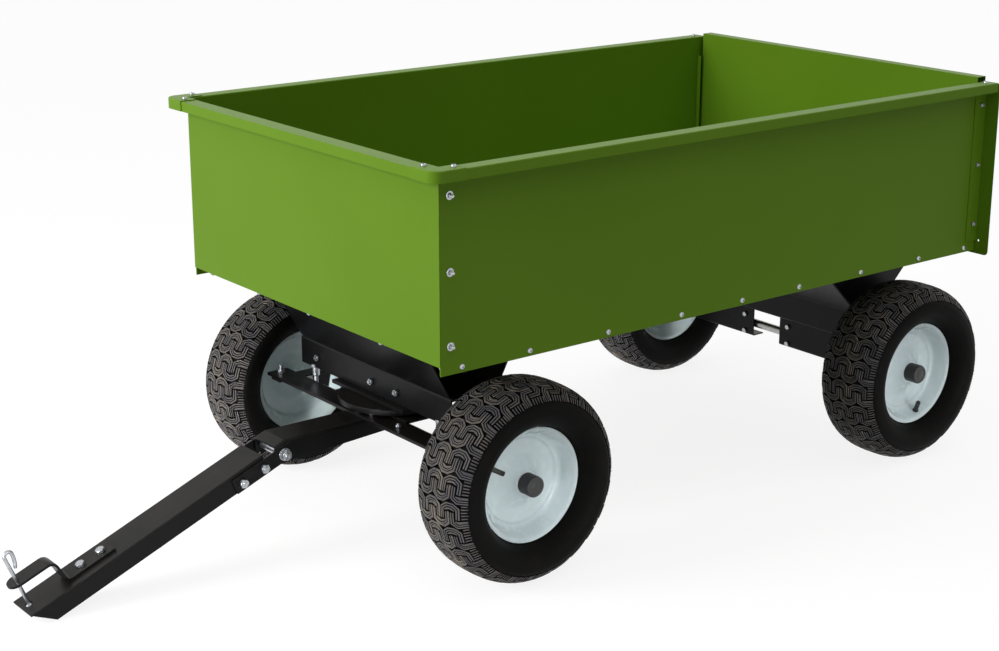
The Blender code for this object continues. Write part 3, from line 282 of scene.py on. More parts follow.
FINISHES = {
    "green_paint": green_paint(),
    "black_paint": black_paint(),
    "tyre": rubber("tyre_rubber", (0.0036, 0.0034, 0.0032), (0.010, 0.008, 0.006), 0.50, 0.82, 0.55, 0.05),
    "rim_paint": rim_paint(),
    "steel": plated("turned_steel", (0.50, 0.49, 0.47), 0.34, (1, 6, 6), 1.0),
    "zinc": plated("zinc_plate", (0.50, 0.52, 0.55), 0.28, None, 0.92),
    "plastic": plastic(),
}
DUSTY_RUBBER = rubber("tread_dust", (0.055, 0.050, 0.045), (0.400, 0.330, 0.250), 0.34, 0.62, 0.72, 0.12)
# Block tops: rubber lighter and bluer than the carcass, partly the grey bloom of the rubber and partly
# painted sheen.
TREAD_BLOOM_AND_SHEEN = rubber("tread_face_bloom_and_sheen", (0.088, 0.086, 0.094), (0.190, 0.165, 0.135), 0.42, 0.75, 0.50, 0.16)


# Pieces

def mesh_data(name, mesh, materials, sharp):
    """Turns a bmesh into smooth mesh data with sharp edges past an angle in degrees."""
    bmesh.ops.recalc_face_normals(mesh, faces=mesh.faces)
    data = bpy.data.meshes.new(name)
    mesh.to_mesh(data)
    mesh.free()
    for material in materials:
        data.materials.append(material)
    data.shade_smooth()
    data.set_sharp_from_angle(angle=math.radians(sharp))
    return data


def finish_piece(name, mesh, slot, body, matrix=None, stands_for=(), sharp=50.0):
    """Turns a bmesh into a shown piece that rides on a body."""
    return show(name, mesh_data(name, mesh, [FINISHES[slot]], sharp), body, matrix, stands_for)


def show(name, data, body, matrix=None, stands_for=()):
    """Shows mesh data as a piece of a body, in place of the named CAD nodes."""
    piece = bpy.data.objects.new(name, data)
    bpy.context.scene.collection.objects.link(piece)
    if matrix:
        piece.matrix_world = matrix
    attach(piece, body)
    if stands_for:
        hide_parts(*stands_for)
    return piece


# A fold is an edge between two broad faces; its outer and inner radii are given per sheet.
SHEET_FOLD = (0.0026, 0.0011)
HANGER_FOLD = (0.0046, 0.0016)
CHANNEL_FOLD = (0.0062, 0.0022)
ROOT_FOLD = (0.0055, 0.0015)
BROAD_WIDTH = 0.005
LEVEL_AREA = 0.0008
MERGE_ANGLE = math.radians(0.5)
FOLD_ANGLE = math.radians(30)
CUT_ANGLE = math.radians(35)


def is_broad(face):
    return 2 * face.calc_area() / max(face.calc_perimeter(), 1e-9) > BROAD_WIDTH


def fold_edges(mesh, convex):
    edges = []
    for edge in mesh.edges:
        if len(edge.link_faces) == 2 and edge.is_convex == convex:
            if edge.calc_face_angle() > FOLD_ANGLE and all(is_broad(face) for face in edge.link_faces):
                edges.append(edge)
    return edges


def round_edges(mesh, edges, radius, steps):
    if edges:
        bmesh.ops.bevel(mesh, geom=edges, offset=radius, offset_type="OFFSET", segments=steps,
                        profile=0.5, affect="EDGES", clamp_overlap=True)


def refined(node, fold, cut):
    """The CAD solid's form with rolled folds and eased cut edges; its large faces stay level."""
    mesh = bmesh.new()
    mesh.from_mesh(NODES[node].data)
    bmesh.ops.remove_doubles(mesh, verts=mesh.verts, dist=1e-6)
    bmesh.ops.dissolve_limit(mesh, angle_limit=MERGE_ANGLE, verts=mesh.verts, edges=mesh.edges)
    if fold:
        outer, inner = fold
        round_edges(mesh, fold_edges(mesh, True), outer, 5)
        round_edges(mesh, fold_edges(mesh, False), inner, 4)
    if cut:
        sharp = [edge for edge in mesh.edges if len(edge.link_faces) == 2 and edge.is_convex
                 and edge.calc_face_angle() > CUT_ANGLE]
        round_edges(mesh, sharp, cut, 3)
    mesh.faces.index_update()
    level = [face.index for face in mesh.faces if face.calc_area() > LEVEL_AREA]
    piece = finish_piece(node + "_form", mesh, SLOT_OF[node], BODY_OF[node], stands_for=(node,))
    for index in level:
        piece.data.polygons[index].use_smooth = False


def inset_outline(outline, distance):
    """Moves each corner of a closed outline inwards."""
    area = 0.0
    for (x0, y0), (x1, y1) in zip(outline, outline[1:] + outline[:1]):
        area += x0 * y1 - x1 * y0
    turn = 1 if area > 0 else -1
    moved = []
    for before, here, after in zip(outline[-1:] + outline[:-1], outline, outline[1:] + outline[:1]):
        first = (Vector(here) - Vector(before)).normalized()
        second = (Vector(after) - Vector(here)).normalized()
        n1 = Vector((-first.y, first.x)) * turn
        n2 = Vector((-second.y, second.x)) * turn
        moved.append(tuple(Vector(here) + (n1 + n2) / max(1 + n1.dot(n2), 0.4) * distance))
    return moved


def corner_cap(node, side):
    """Sheet over the corner of the two rims, its lip carried round from one rim to the other."""
    out_x = RIM_FACE + CAP_LIFT
    out_y = RIM_OUTSIDE + CAP_LIFT
    radius = 0.0268
    reach = 0.036
    end_x = TRAY_FRONT - reach
    end_y = TRAY_HALF_WIDTH - reach
    top = TRAY_TOP + CAP_LIFT
    bottom = TRAY_TOP - 0.0205
    curve = []
    for step in range(17):
        angle = math.pi / 2 * step / 16
        curve.append((out_x - radius + radius * math.cos(angle),
                      out_y - radius + radius * math.sin(angle)))
    lip = [(out_x, end_y)] + curve + [(end_x, out_y)]
    inner = [(end_x, TRAY_HALF_WIDTH), (TRAY_FRONT, TRAY_HALF_WIDTH), (TRAY_FRONT, end_y)]
    roll = 0.0022
    profile = []
    for step in range(7):
        angle = math.pi / 2 * step / 6
        profile.append((roll * (1 - math.sin(angle)), top - roll * (1 - math.cos(angle))))
    profile += [(0.0, bottom), (SHEET, bottom)]
    small = roll - SHEET
    for step in range(6, -1, -1):
        angle = math.pi / 2 * step / 6
        profile.append((SHEET + small * (1 - math.sin(angle)), top - SHEET - small * (1 - math.cos(angle))))
    mesh = bmesh.new()
    loops = []
    for inset, z in profile:
        shift = inset_outline(lip + inner, inset)
        loops.append([mesh.verts.new((x, side * y, z)) for x, y in shift[:len(lip)]])
    tops = [mesh.verts.new((x, side * y, top)) for x, y in inner]
    lows = [mesh.verts.new((x, side * y, top - SHEET)) for x, y in inner]
    for ring, following in zip(loops, loops[1:]):
        for step in range(len(lip) - 1):
            mesh.faces.new((ring[step], ring[step + 1], following[step + 1], following[step]))
    mesh.faces.new(loops[0] + tops)
    mesh.faces.new(loops[-1] + lows)
    for index in range(len(tops) - 1):
        mesh.faces.new((tops[index], tops[index + 1], lows[index + 1], lows[index]))
    mesh.faces.new([loop[0] for loop in loops] + [lows[-1], tops[-1]])
    mesh.faces.new([loop[-1] for loop in loops] + [lows[0], tops[0]])
    finish_piece(node + "_form", mesh, "green_paint", "tray", TRAILER, (node,), sharp=40)


def frame_pieces():
    """Sheets and plates; rounding would break a face of the front panel, so its edges stay crisp."""
    for node in ("floor_panel", "left_side_panel", "right_side_panel", "rear_left_post", "rear_right_post",
                 "rear_left_guide", "rear_right_guide", "tailgate"):
        refined(node, SHEET_FOLD, 0.0003)
    refined("front_panel", None, 0.0)
    corner_cap("front_left_corner_cap", 1)
    corner_cap("front_right_corner_cap", -1)
    for node in ("front_hanger", "rear_hanger", "rear_axle_carrier_left", "rear_axle_carrier_right"):
        refined(node, HANGER_FOLD, 0.0004)
    for node in ("front_bolster", "drawbar_tongue"):
        refined(node, CHANNEL_FOLD, 0.0006)
    refined("drawbar_root", ROOT_FOLD, 0.0006)
    for node in ("turntable_upper_plate", "turntable_lower_plate", "turntable_disc", "front_cross_bar",
                 "axle_arm_left", "axle_arm_right", "fork_plate_left", "fork_plate_right",
                 "rear_hanger_plate_left", "rear_hanger_plate_right", "hitch_strap"):
        refined(node, None, 0.0008)


# Turned forms

def join_rings(mesh, ring, following, index=0):
    """A band of faces between two rings with the same number of points."""
    for step in range(len(ring)):
        after = (step + 1) % len(ring)
        face = mesh.faces.new((ring[step], ring[after], following[after], following[step]))
        face.material_index = index


def ring_points(mesh, station, radius, flats, segments, place):
    """One ring; where flats is set, the ring is a hexagon no wider than the radius."""
    ring = []
    for step in range(segments):
        angle = 2 * math.pi * step / segments
        reach = radius
        if flats:
            from_flat = (angle + math.pi / 6) % (math.pi / 3) - math.pi / 6
            reach = min(radius, flats / 2 / math.cos(from_flat))
        ring.append(mesh.verts.new(place(reach * math.cos(angle), reach * math.sin(angle), station)))
    return ring


def turned(mesh, profile, segments, place, closed=False):
    """Turns (station, radius) or (station, radius, flats) rings; open profiles get flat ends."""
    rings = [ring_points(mesh, item[0], item[1], item[2] if len(item) > 2 else 0, segments, place)
             for item in profile]
    for ring, following in zip(rings, rings[1:]):
        join_rings(mesh, ring, following)
    if closed:
        join_rings(mesh, rings[-1], rings[0])
    else:
        mesh.faces.new(rings[0])
        mesh.faces.new(rings[-1])


def outboard(u, v, w):
    """Place whose stations run outwards from a wheel's middle."""
    return Vector((u, w, v))


def upright(u, v, w):
    return Vector((u, v, w))


def across_at(x, z=0.0):
    """Place whose stations run along Y, through a point of the side view."""
    return lambda u, v, w: Vector((x + u, w, z + v))


def down_at(x, y=0.0):
    """Place whose stations run down, through a point of the top view."""
    return lambda u, v, w: Vector((x + u, y + v, -w))


def along(origin, axis, spin=0.0):
    """Place whose stations run along an axis from an origin."""
    w = Vector(axis).normalized()
    helper = Vector((0, 0, 1)) if abs(w.z) < 0.9 else Vector((1, 0, 0))
    u = helper.cross(w).normalized()
    u = Matrix.Rotation(spin, 3, w) @ u
    v = w.cross(u)
    start = Vector(origin)
    return lambda a, b, station: start + u * a + v * b + w * station


CORNER = 1 / math.cos(math.pi / 6)


def hex_rings(low, high, flats, chamfer_low, chamfer_high):
    """Rings of a hexagon, its ends chamfered as on a lathe where asked."""
    widest = flats / 2 * CORNER
    narrow = flats / 2 * 0.95
    rings = []
    ease = 0.11 * flats
    if chamfer_low:
        rings += [(low, narrow, flats), (low + ease * 0.3, (2 * narrow + widest) / 3, flats),
                  (low + ease * 0.55, (narrow + 2 * widest) / 3, flats), (low + ease * 0.7, widest, flats)]
    else:
        rings.append((low, widest, flats))
    if chamfer_high:
        rings += [(high - ease * 0.7, widest, flats), (high - ease * 0.55, (narrow + 2 * widest) / 3, flats),
                  (high - ease * 0.3, (2 * narrow + widest) / 3, flats), (high, narrow, flats)]
    else:
        rings.append((high, widest, flats))
    return rings


def thread_rings(low, high, radius, pitch):
    """Fine ridges that stand for a screw thread, with a chamfered end."""
    rings = [(low, radius)]
    depth = 0.30 * pitch
    station = low
    while station + pitch < high - pitch / 2:
        rings += [(station + pitch * 0.5, radius - depth), (station + pitch, radius)]
        station += pitch
    rings += [(high - pitch * 0.4, radius - depth * 0.4), (high, radius - depth * 1.6)]
    return rings


def flange_nut(mesh, origin, axis, flats=0.010, stud=0.0030, height=0.0062, proud=0.0035, spin=0.2):
    """Nut with a flange, and the end of its screw standing proud."""
    place = along(origin, axis, spin)
    seat = HIDDEN_GAP
    wide = flats * 0.82
    turned(mesh, [(seat, wide), (seat + 0.0008, wide), (seat + 0.0016, flats / 2 * 1.05)], 24, place)
    turned(mesh, hex_rings(seat + 0.0012, height, flats, False, True), 36, place)
    if proud:
        turned(mesh, thread_rings(height - 0.0008, height + proud, stud, 0.0010), 20, place)


def hex_nut(mesh, origin, axis, flats=0.013, stud=0.004, height=0.0065, proud=0.003, washer=0.0, spin=0.1):
    """Nut, on a washer of a given radius if any, and the end of its screw standing proud."""
    place = along(origin, axis, spin)
    low = HIDDEN_GAP
    if washer:
        turned(mesh, [(low, washer - 0.0003), (low + 0.0003, washer), (low + 0.0013, washer),
                      (low + 0.0016, washer - 0.0003)], 32, place)
        low += 0.0016
    turned(mesh, hex_rings(low, low + height, flats, True, True), 36, place)
    if proud:
        turned(mesh, thread_rings(low + height - 0.0008, low + height + proud, stud, 0.00125), 20, place)


def hex_head(mesh, origin, axis, flats=0.013, height=0.0053, spin=0.3):
    """Hexagon head of a bolt on its washer face."""
    place = along(origin, axis, spin)
    low = HIDDEN_GAP
    turned(mesh, [(low, flats * 0.48), (low + 0.0005, flats * 0.48)], 24, place)
    turned(mesh, hex_rings(low + 0.0004, low + height, flats, False, True), 36, place)


def socket_head(mesh, origin, axis, radius=0.0060, height=0.0032, dome=True, spin=0.4):
    """Round head with a hexagon socket sunk in its middle."""
    place = along(origin, axis, spin)
    low = HIDDEN_GAP
    socket = radius * 0.72
    deep = height * 0.35
    if dome:
        body = [(low, radius * 0.96), (low + height * 0.12, radius), (low + height * 0.42, radius * 0.94),
                (low + height * 0.72, radius * 0.80), (low + height * 0.92, radius * 0.62),
                (low + height, radius * 0.50)]
    else:
        body = [(low, radius), (low + height * 0.85, radius), (low + height * 0.96, radius * 0.95),
                (low + height, radius * 0.86), (low + height, radius * 0.50)]
    body += [(low + height, radius * 0.46, socket), (low + deep, radius * 0.44, socket)]
    turned(mesh, body, 36, place)


# Wheels

TYRE_OUTSIDE = ((0.0000, 0.2030), (0.0180, 0.2026), (0.0350, 0.2010), (0.0490, 0.1975), (0.0600, 0.1922),
                (0.0690, 0.1850), (0.0755, 0.1762), (0.0795, 0.1662), (0.0808, 0.1565), (0.0802, 0.1478),
                (0.0772, 0.1396), (0.0718, 0.1322), (0.0650, 0.1265), (0.0585, 0.1230), (0.0525, 0.1207),
                (0.0478, 0.1190), (0.0452, 0.1178), (0.0443, 0.1172))
# The carcass lies TREAD_DEPTH under the blocks and rises to the sidewall from TREAD_END to TREAD_FADE.
TREAD_DEPTH = 0.0058
TREAD_END = 0.072
TREAD_FADE = 0.093
CELL_COLUMNS = 3
CELL_ACROSS = 0.0235
CELLS_ROUND = 24
TYRE_STEPS = 120
CARCASS, DUST, TREAD_FACE = 0, 1, 2
# Raised rings on the sidewall, as (distance from the middle of the tread, height).
SIDEWALL_RINGS = ((0.112, 0.0005), (0.1205, 0.0004), (0.146, 0.0006), (0.152, 0.0005))
SIDEWALL_RING_WIDTH = 0.0011


def curve_point(a, b, c, d, t):
    """Point of a smooth curve between b and c, at the share t of the way."""
    return 0.5 * (2 * b + (c - a) * t + (2 * a - 5 * b + 4 * c - d) * t * t
                  + (3 * b - a - 3 * c + d) * t * t * t)


class TyreSurface:
    """Maps a distance across the tyre, an angle and a height to a point."""

    def __init__(self):
        self.samples = []
        points = [Vector((-TYRE_OUTSIDE[1][0], TYRE_OUTSIDE[1][1]))]
        points += [Vector(point) for point in TYRE_OUTSIDE]
        points.append(2 * points[-1] - points[-2])
        travelled = 0.0
        last = None
        for index in range(1, len(points) - 2):
            a, b, c, d = points[index - 1:index + 3]
            for step in range(8):
                here = curve_point(a, b, c, d, step / 8)
                if last is not None:
                    travelled += (here - last).length
                self.samples.append((travelled, here))
                last = here
        self.samples.append((travelled + (points[-2] - last).length, points[-2]))
        self.end = self.samples[-1][0]

    def at(self, across):
        """Place in the half section and the direction square to it."""
        reach = min(abs(across), self.end - 1e-6)
        low = 0
        high = len(self.samples) - 1
        while high - low > 1:
            centre = (low + high) // 2
            if self.samples[centre][0] <= reach:
                low = centre
            else:
                high = centre
        start, first = self.samples[low]
        stop, second = self.samples[high]
        here = first.lerp(second, (reach - start) / max(stop - start, 1e-9))
        before = self.samples[max(low - 2, 0)][1]
        after = self.samples[min(high + 2, len(self.samples) - 1)][1]
        run = (after - before).normalized()
        if low < 2:
            run = Vector((1, 0)).lerp(run, reach / max(self.samples[4][0], 1e-9)).normalized()
        return here, Vector((-run.y, run.x))

    def point(self, across, angle, height):
        here, square = self.at(across)
        spot = here + square * height
        w = math.copysign(spot.x, across) if across else 0.0
        return Vector((spot.y * math.cos(angle), w, spot.y * math.sin(angle)))


def eased(value, low, high):
    share = min(1.0, max(0.0, (value - low) / (high - low)))
    return share * share * (3 - 2 * share)


def tread_block(mesh, surface, outline, centre, angle, flip, dusty):
    """A rubber block on the carcass, with eased upper edges that may carry dust."""
    rings = []
    for inset, height in ((-0.0003, -TREAD_DEPTH - 0.0006), (0.0, -0.0009), (0.0003, -0.0002), (0.0006, 0.0)):
        ring = []
        for u, v in inset_outline(outline, inset):
            turn = angle + flip * v / TYRE_RADIUS
            ring.append(mesh.verts.new(surface.point(centre + u, turn, height)))
        rings.append(ring)
    for level, (ring, following) in enumerate(zip(rings, rings[1:])):
        join_rings(mesh, ring, following, DUST if dusty and level else CARCASS)
    # The block's top takes the lighter block-top rubber, which carries a painted sheen.
    mesh.faces.new(rings[-1]).material_index = TREAD_FACE


# Tread blocks of one cell, as (across, along) in metres from the cell's middle.
OUTER_BAND = [(-0.0222, -0.0215), (-0.0222, 0.0042), (-0.0084, 0.0142), (0.0084, 0.0142), (0.0222, 0.0042),
              (0.0222, -0.0215), (0.0181, -0.0215), (0.0181, 0.0021), (0.0071, 0.0101), (-0.0071, 0.0101),
              (-0.0181, 0.0021), (-0.0181, -0.0215)]
INNER_BAND = [(-0.0170, -0.0215), (-0.0170, 0.0015), (-0.0067, 0.0090), (0.0067, 0.0090), (0.0170, 0.0015),
              (0.0170, -0.0215), (0.0132, -0.0205), (0.0132, -0.0004), (0.0055, 0.0053), (-0.0055, 0.0053),
              (-0.0132, -0.0004), (-0.0132, -0.0205)]
CHEVRON = [(-0.0120, -0.0036), (-0.0120, -0.0009), (-0.0050, 0.0042), (0.0050, 0.0042), (0.0120, -0.0009),
           (0.0120, -0.0036), (0.0000, 0.0002)]
SHOULDER_BLOCKS = [
    [(-0.0222, -0.0215), (-0.0222, 0.0042), (-0.0084, 0.0142), (0.0150, 0.0142), (0.0150, 0.0101),
     (-0.0071, 0.0101), (-0.0181, 0.0021), (-0.0181, -0.0215)],
    [(-0.0170, -0.0215), (-0.0170, 0.0015), (-0.0067, 0.0090), (0.0146, 0.0090), (0.0146, 0.0053),
     (-0.0055, 0.0053), (-0.0132, -0.0004), (-0.0132, -0.0205)],
    [(-0.0120, -0.0036), (-0.0120, -0.0009), (-0.0050, 0.0042), (0.0142, 0.0042), (0.0142, -0.0024),
     (-0.0030, -0.0024)],
]
SHOULDER_BARS = ((-0.0082, 0.0142), (-0.0150, 0.0156), (-0.0218, 0.0140), (-0.0286, 0.0156),
                 (-0.0354, 0.0142))
SHOULDER_BLOCKS += [
    [(0.0006, at - 0.0022), (0.0006, at + 0.0022), (reach, at + 0.0018), (reach, at - 0.0018)]
    for at, reach in SHOULDER_BARS]


def tyre_rings(surface):
    """Rings of points over the carcass and back round the hollow inside."""
    turns = [2 * math.pi * step / TYRE_STEPS for step in range(TYRE_STEPS)]
    across = [surface.end * step / 60 for step in range(61)]
    stations = [-value for value in across[:0:-1]] + across
    rings = []
    for station in stations:
        reach = abs(station)
        depth = TREAD_DEPTH * (1 - eased(reach, TREAD_END, TREAD_FADE))
        relief = 0.0
        for ring_at, height in SIDEWALL_RINGS:
            relief += height * math.exp(-((reach - ring_at) / SIDEWALL_RING_WIDTH) ** 2)
        rings.append([surface.point(station, turn, relief - depth) for turn in turns])
    for share in range(1, 12):
        swing = math.pi * share / 12
        radius = 0.1178 + 0.066 * math.sin(swing)
        width = 0.0443 * math.cos(swing) + 0.030 * math.sin(2 * swing) * 0.9
        rings.append([Vector((radius * math.cos(turn), width, radius * math.sin(turn))) for turn in turns])
    return rings


def tyre_mesh():
    surface = TyreSurface()
    mesh = bmesh.new()
    loops = [[mesh.verts.new(point) for point in ring] for ring in tyre_rings(surface)]
    for ring, following in zip(loops, loops[1:] + loops[:1]):
        join_rings(mesh, ring, following, CARCASS)
    for column in range(-CELL_COLUMNS, CELL_COLUMNS + 1):
        centre = column * CELL_ACROSS
        for cell in range(CELLS_ROUND):
            angle = 2 * math.pi * (cell + (0.5 if column % 2 else 0.0)) / CELLS_ROUND
            flip = -1 if column % 2 else 1
            dusty = abs(column) < 2
            if abs(column) == CELL_COLUMNS:
                for block in SHOULDER_BLOCKS:
                    if column < 0:
                        block = [(-u, v) for u, v in reversed(block)]
                    tread_block(mesh, surface, block, centre, angle, flip, False)
                continue
            tread_block(mesh, surface, OUTER_BAND, centre, angle, flip, dusty)
            tread_block(mesh, surface, INNER_BAND, centre, angle, flip, False)
            tread_block(mesh, surface, CHEVRON, centre, angle, flip, dusty)
    return mesh_data("tyre_body", mesh, [FINISHES["tyre"], DUSTY_RUBBER, TREAD_BLOOM_AND_SHEEN], 38)


def smooth_path(points, steps):
    """Points of a smooth line through the given ones."""
    knots = [Vector(point) for point in points]
    knots = [2 * knots[0] - knots[1]] + knots + [2 * knots[-1] - knots[-2]]
    path = []
    for a, b, c, d in zip(knots, knots[1:], knots[2:], knots[3:]):
        for step in range(steps):
            path.append(curve_point(a, b, c, d, step / steps))
    path.append(knots[-2])
    return [tuple(point) for point in path]


def rim_mesh():
    """Formed rim as one closed section: face, bore, back and tyre seat."""
    lip = [(0.0449, 0.1160), (0.0460, 0.1169), (0.0472, 0.1167), (0.0476, 0.1155), (0.0474, 0.1138),
           (0.0466, 0.1118), (0.0452, 0.1098), (0.0430, 0.1080)]
    barrel = [(0.0330, 0.1030), (0.0250, 0.0992), (0.0195, 0.0962), (0.0168, 0.0938), (0.0150, 0.0915),
              (0.0142, 0.0895), (0.0128, 0.0880), (0.0105, 0.0862), (0.0088, 0.0835), (0.0080, 0.0800),
              (0.0072, 0.0740), (0.0064, 0.0680), (0.0060, 0.0625), (0.0066, 0.0578), (0.0085, 0.0525),
              (0.0118, 0.0460), (0.0158, 0.0395), (0.0205, 0.0335), (0.0245, 0.0292), (0.0275, 0.0268)]
    nose = [(0.0292, 0.0258), (0.0300, 0.0248), (0.0300, 0.0150)]
    outer = smooth_path(lip + barrel, 3) + nose
    back = [(-0.0450, 0.0150), (-0.0450, 0.0174), (-0.0444, 0.0180), (0.0100, 0.0182), (0.0150, 0.0200)]
    dish = [(0.0150, 0.0290), (0.0120, 0.0375), (0.0070, 0.0480), (0.0040, 0.0560), (0.0030, 0.0625),
            (0.0034, 0.0700), (0.0042, 0.0780), (0.0046, 0.0830), (0.0040, 0.0868), (0.0020, 0.0895),
            (-0.0020, 0.0912), (-0.0080, 0.0918), (-0.0150, 0.0924), (-0.0210, 0.0950), (-0.0300, 0.1005),
            (-0.0430, 0.1080)]
    inner = smooth_path(dish + [(-w, radius) for w, radius in lip[::-1][1:]], 3)
    seat = [(-0.0446, 0.1113), (-0.0140, 0.0950), (0.0140, 0.0950), (0.0446, 0.1113)]
    mesh = bmesh.new()
    turned(mesh, outer + back + inner + seat, 96, outboard, closed=True)
    return mesh_data("rim_body", mesh, [FINISHES["rim_paint"]], 40)


def cap_mesh():
    """Hub cap with three grooves and a sunk end."""
    rings = [(0.0303, 0.0195), (0.0303, 0.0208), (0.0310, 0.0214)]
    for groove in (0.0365, 0.0405, 0.0445):
        rings += [(groove, 0.0214), (groove + 0.0004, 0.0209), (groove + 0.0012, 0.0209),
                  (groove + 0.0016, 0.0214)]
    rings += [(0.0560, 0.0214), (0.0585, 0.0211), (0.0599, 0.0201), (0.0605, 0.0186), (0.0605, 0.0160),
              (0.0600, 0.0154), (0.0596, 0.0150), (0.0596, 0.0090), (0.0599, 0.0084), (0.0599, 0.0010)]
    mesh = bmesh.new()
    turned(mesh, rings, 48, outboard)
    return mesh_data("cap_body", mesh, [FINISHES["plastic"]], 40)


STEM_ANGLES = {"front_left": 30, "front_right": 210, "rear_left": 255, "rear_right": 105}


def valve_stem(place, side, hub):
    """Rubber stem with a ribbed screw cap, square on the slope of the rim's barrel."""
    turn = math.radians(STEM_ANGLES[place])
    foot = Vector((0.0155, 0.0920))
    run = Vector((0.0476, 0.10785)) - foot
    normal = Vector((run.y, -run.x)).normalized()
    base = foot + run * 0.55 - normal * 0.0008
    spoke = Vector((math.cos(turn), 0, math.sin(turn)))
    axle = Vector((0, side, 0))
    direction = axle * normal.x + spoke * normal.y
    origin = axle * base.x + spoke * base.y
    rings = [(0.0, 0.0072), (0.0014, 0.0070), (0.0034, 0.0058), (0.0064, 0.0053), (0.0156, 0.0050),
             (0.0172, 0.0048), (0.0176, 0.0038), (0.0182, 0.0038), (0.0184, 0.0051)]
    for rib in range(6):
        rings += [(0.0188 + rib * 0.0013, 0.0051), (0.01945 + rib * 0.0013, 0.0047)]
    rings += [(0.0270, 0.0051), (0.0279, 0.0047), (0.0283, 0.0038)]
    mesh = bmesh.new()
    turned(mesh, rings, 24, along(origin, direction))
    finish_piece(place + "_stem_form", mesh, "plastic", place + "_wheel", Matrix.Translation(hub),
                 stands_for=(place + "_valve_stem",), sharp=40)


def wheels():
    tyre_data = tyre_mesh()
    rim_data = rim_mesh()
    cap_data = cap_mesh()
    for place in STEM_ANGLES:
        body = place + "_wheel"
        side = 1 if place.endswith("left") else -1
        hub = middle(place + "_tyre")
        hub.y = side * HUB_Y
        hub.z = AXLE_Z
        matrix = Matrix.Translation(hub)
        if side < 0:
            matrix = matrix @ Matrix.Rotation(math.pi, 4, "Z")
        show(place + "_tyre_form", tyre_data, body, matrix, (place + "_tyre",))
        show(place + "_rim_form", rim_data, body, matrix, (place + "_rim",))
        show(place + "_cap_form", cap_data, body, matrix, (place + "_hub_cap",))
        valve_stem(place, side, hub)
        mesh = bmesh.new()
        turned(mesh, [(-0.0450, 0.0105), (-0.0450, 0.0138), (-0.0446, 0.0140), (0.0296, 0.0140),
                      (0.0300, 0.0138), (0.0300, 0.0105)], 48, outboard, closed=True)
        finish_piece(place + "_bearing_form", mesh, "steel", body, matrix, (place + "_bearing",), sharp=40)


def axles():
    half = [(0.0001, 0.0100), (0.4370, 0.0100), (0.4370, 0.0131), (0.4374, 0.0135), (0.4396, 0.0135),
            (0.4400, 0.0131), (0.4400, 0.0100), (0.4508, 0.0100), (0.4514, 0.0092)]
    for node in ("front_axle", "rear_axle"):
        centre = middle(node)
        rings = [(-station, radius) for station, radius in half[::-1]] + half
        mesh = bmesh.new()
        turned(mesh, rings, 40, across_at(centre.x, AXLE_Z))
        finish_piece(node + "_form", mesh, "steel", BODY_OF[node], stands_for=(node,), sharp=40)


# Bolts of the frame

# Shank radius, width across flats, head height, nut height and thread pitch.
M10 = (0.005, 0.017, 0.0064, 0.008, 0.0015)
M12 = (0.006, 0.019, 0.0075, 0.010, 0.00175)
FORK_FACE = 0.0443


def through_bolt(node, size, low, high, place, matrix, washer=None):
    """Bolt with its nut: the head is below the station low and the nut above the station high."""
    shank, flats, head, nut, pitch = size
    seat = low - HIDDEN_GAP
    top = high + HIDDEN_GAP
    mesh = bmesh.new()
    turned(mesh, hex_rings(seat - head, seat - 0.0004, flats, True, False), 36, place)
    turned(mesh, [(seat - 0.0006, flats * 0.47), (seat, flats * 0.47), (seat, shank),
                  (top + 0.0004, shank)], 36, place)
    if washer:
        radius, height = washer
        turned(mesh, [(top, radius - 0.0004), (top + 0.0004, radius), (top + height - 0.0004, radius),
                      (top + height, radius - 0.0004)], 48, place)
        top += height
    turned(mesh, hex_rings(top, top + nut, flats, True, True), 36, place)
    end = top + nut + shank / 3
    turned(mesh, thread_rings(top + nut - 0.001, end, shank, pitch), 32, place)
    finish_piece(node + "_form", mesh, "zinc", BODY_OF[node], matrix, (node,), sharp=32)


def frame_bolts():
    pivot = across_at(PIVOT_X, PIVOT_Z)
    for node, station in (("fork_bolt_rear", 0.051), ("fork_bolt_front", 0.104)):
        through_bolt(node, M10, -FORK_FACE, FORK_FACE, across_at(station), DRAWBAR)
    for node, station in (("strap_bolt_rear", 0.405), ("strap_bolt_front", 0.451)):
        through_bolt(node, M10, -0.0303, -0.021, down_at(station), DRAWBAR)
    through_bolt("pivot_bolt", M12, -FORK_FACE, FORK_FACE, pivot, TRAILER, (0.013, 0.0025))
    through_bolt("drawbar_root_bolt", M12, -0.2498, -0.2385, down_at(0.0835, -0.015), TRAILER)
    mesh = bmesh.new()
    turned(mesh, [(-0.0357, 0.0064), (-0.0357, 0.0098), (-0.0353, 0.0100), (0.0353, 0.0100),
                  (0.0357, 0.0098), (0.0357, 0.0064)], 40, pivot, closed=True)
    finish_piece("pivot_bush_form", mesh, "zinc", "steering_frame", TRAILER, ("pivot_bush",), sharp=40)
    low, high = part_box("kingpin")
    mesh = bmesh.new()
    head = low.z + 0.0066
    nut = high.z - 0.0170
    flats = 0.030
    shank = 0.0100
    turned(mesh, hex_rings(low.z, head, flats, True, False), 36, upright)
    turned(mesh, [(head - 0.0004, shank), (nut + 0.0004, shank)], 36, upright)
    turned(mesh, hex_rings(nut, nut + 0.014, flats, True, True), 36, upright)
    turned(mesh, thread_rings(nut + 0.013, high.z, shank, 0.0025), 36, upright)
    finish_piece("kingpin_form", mesh, "steel", "steering_frame", TRAILER, ("kingpin",), sharp=32)


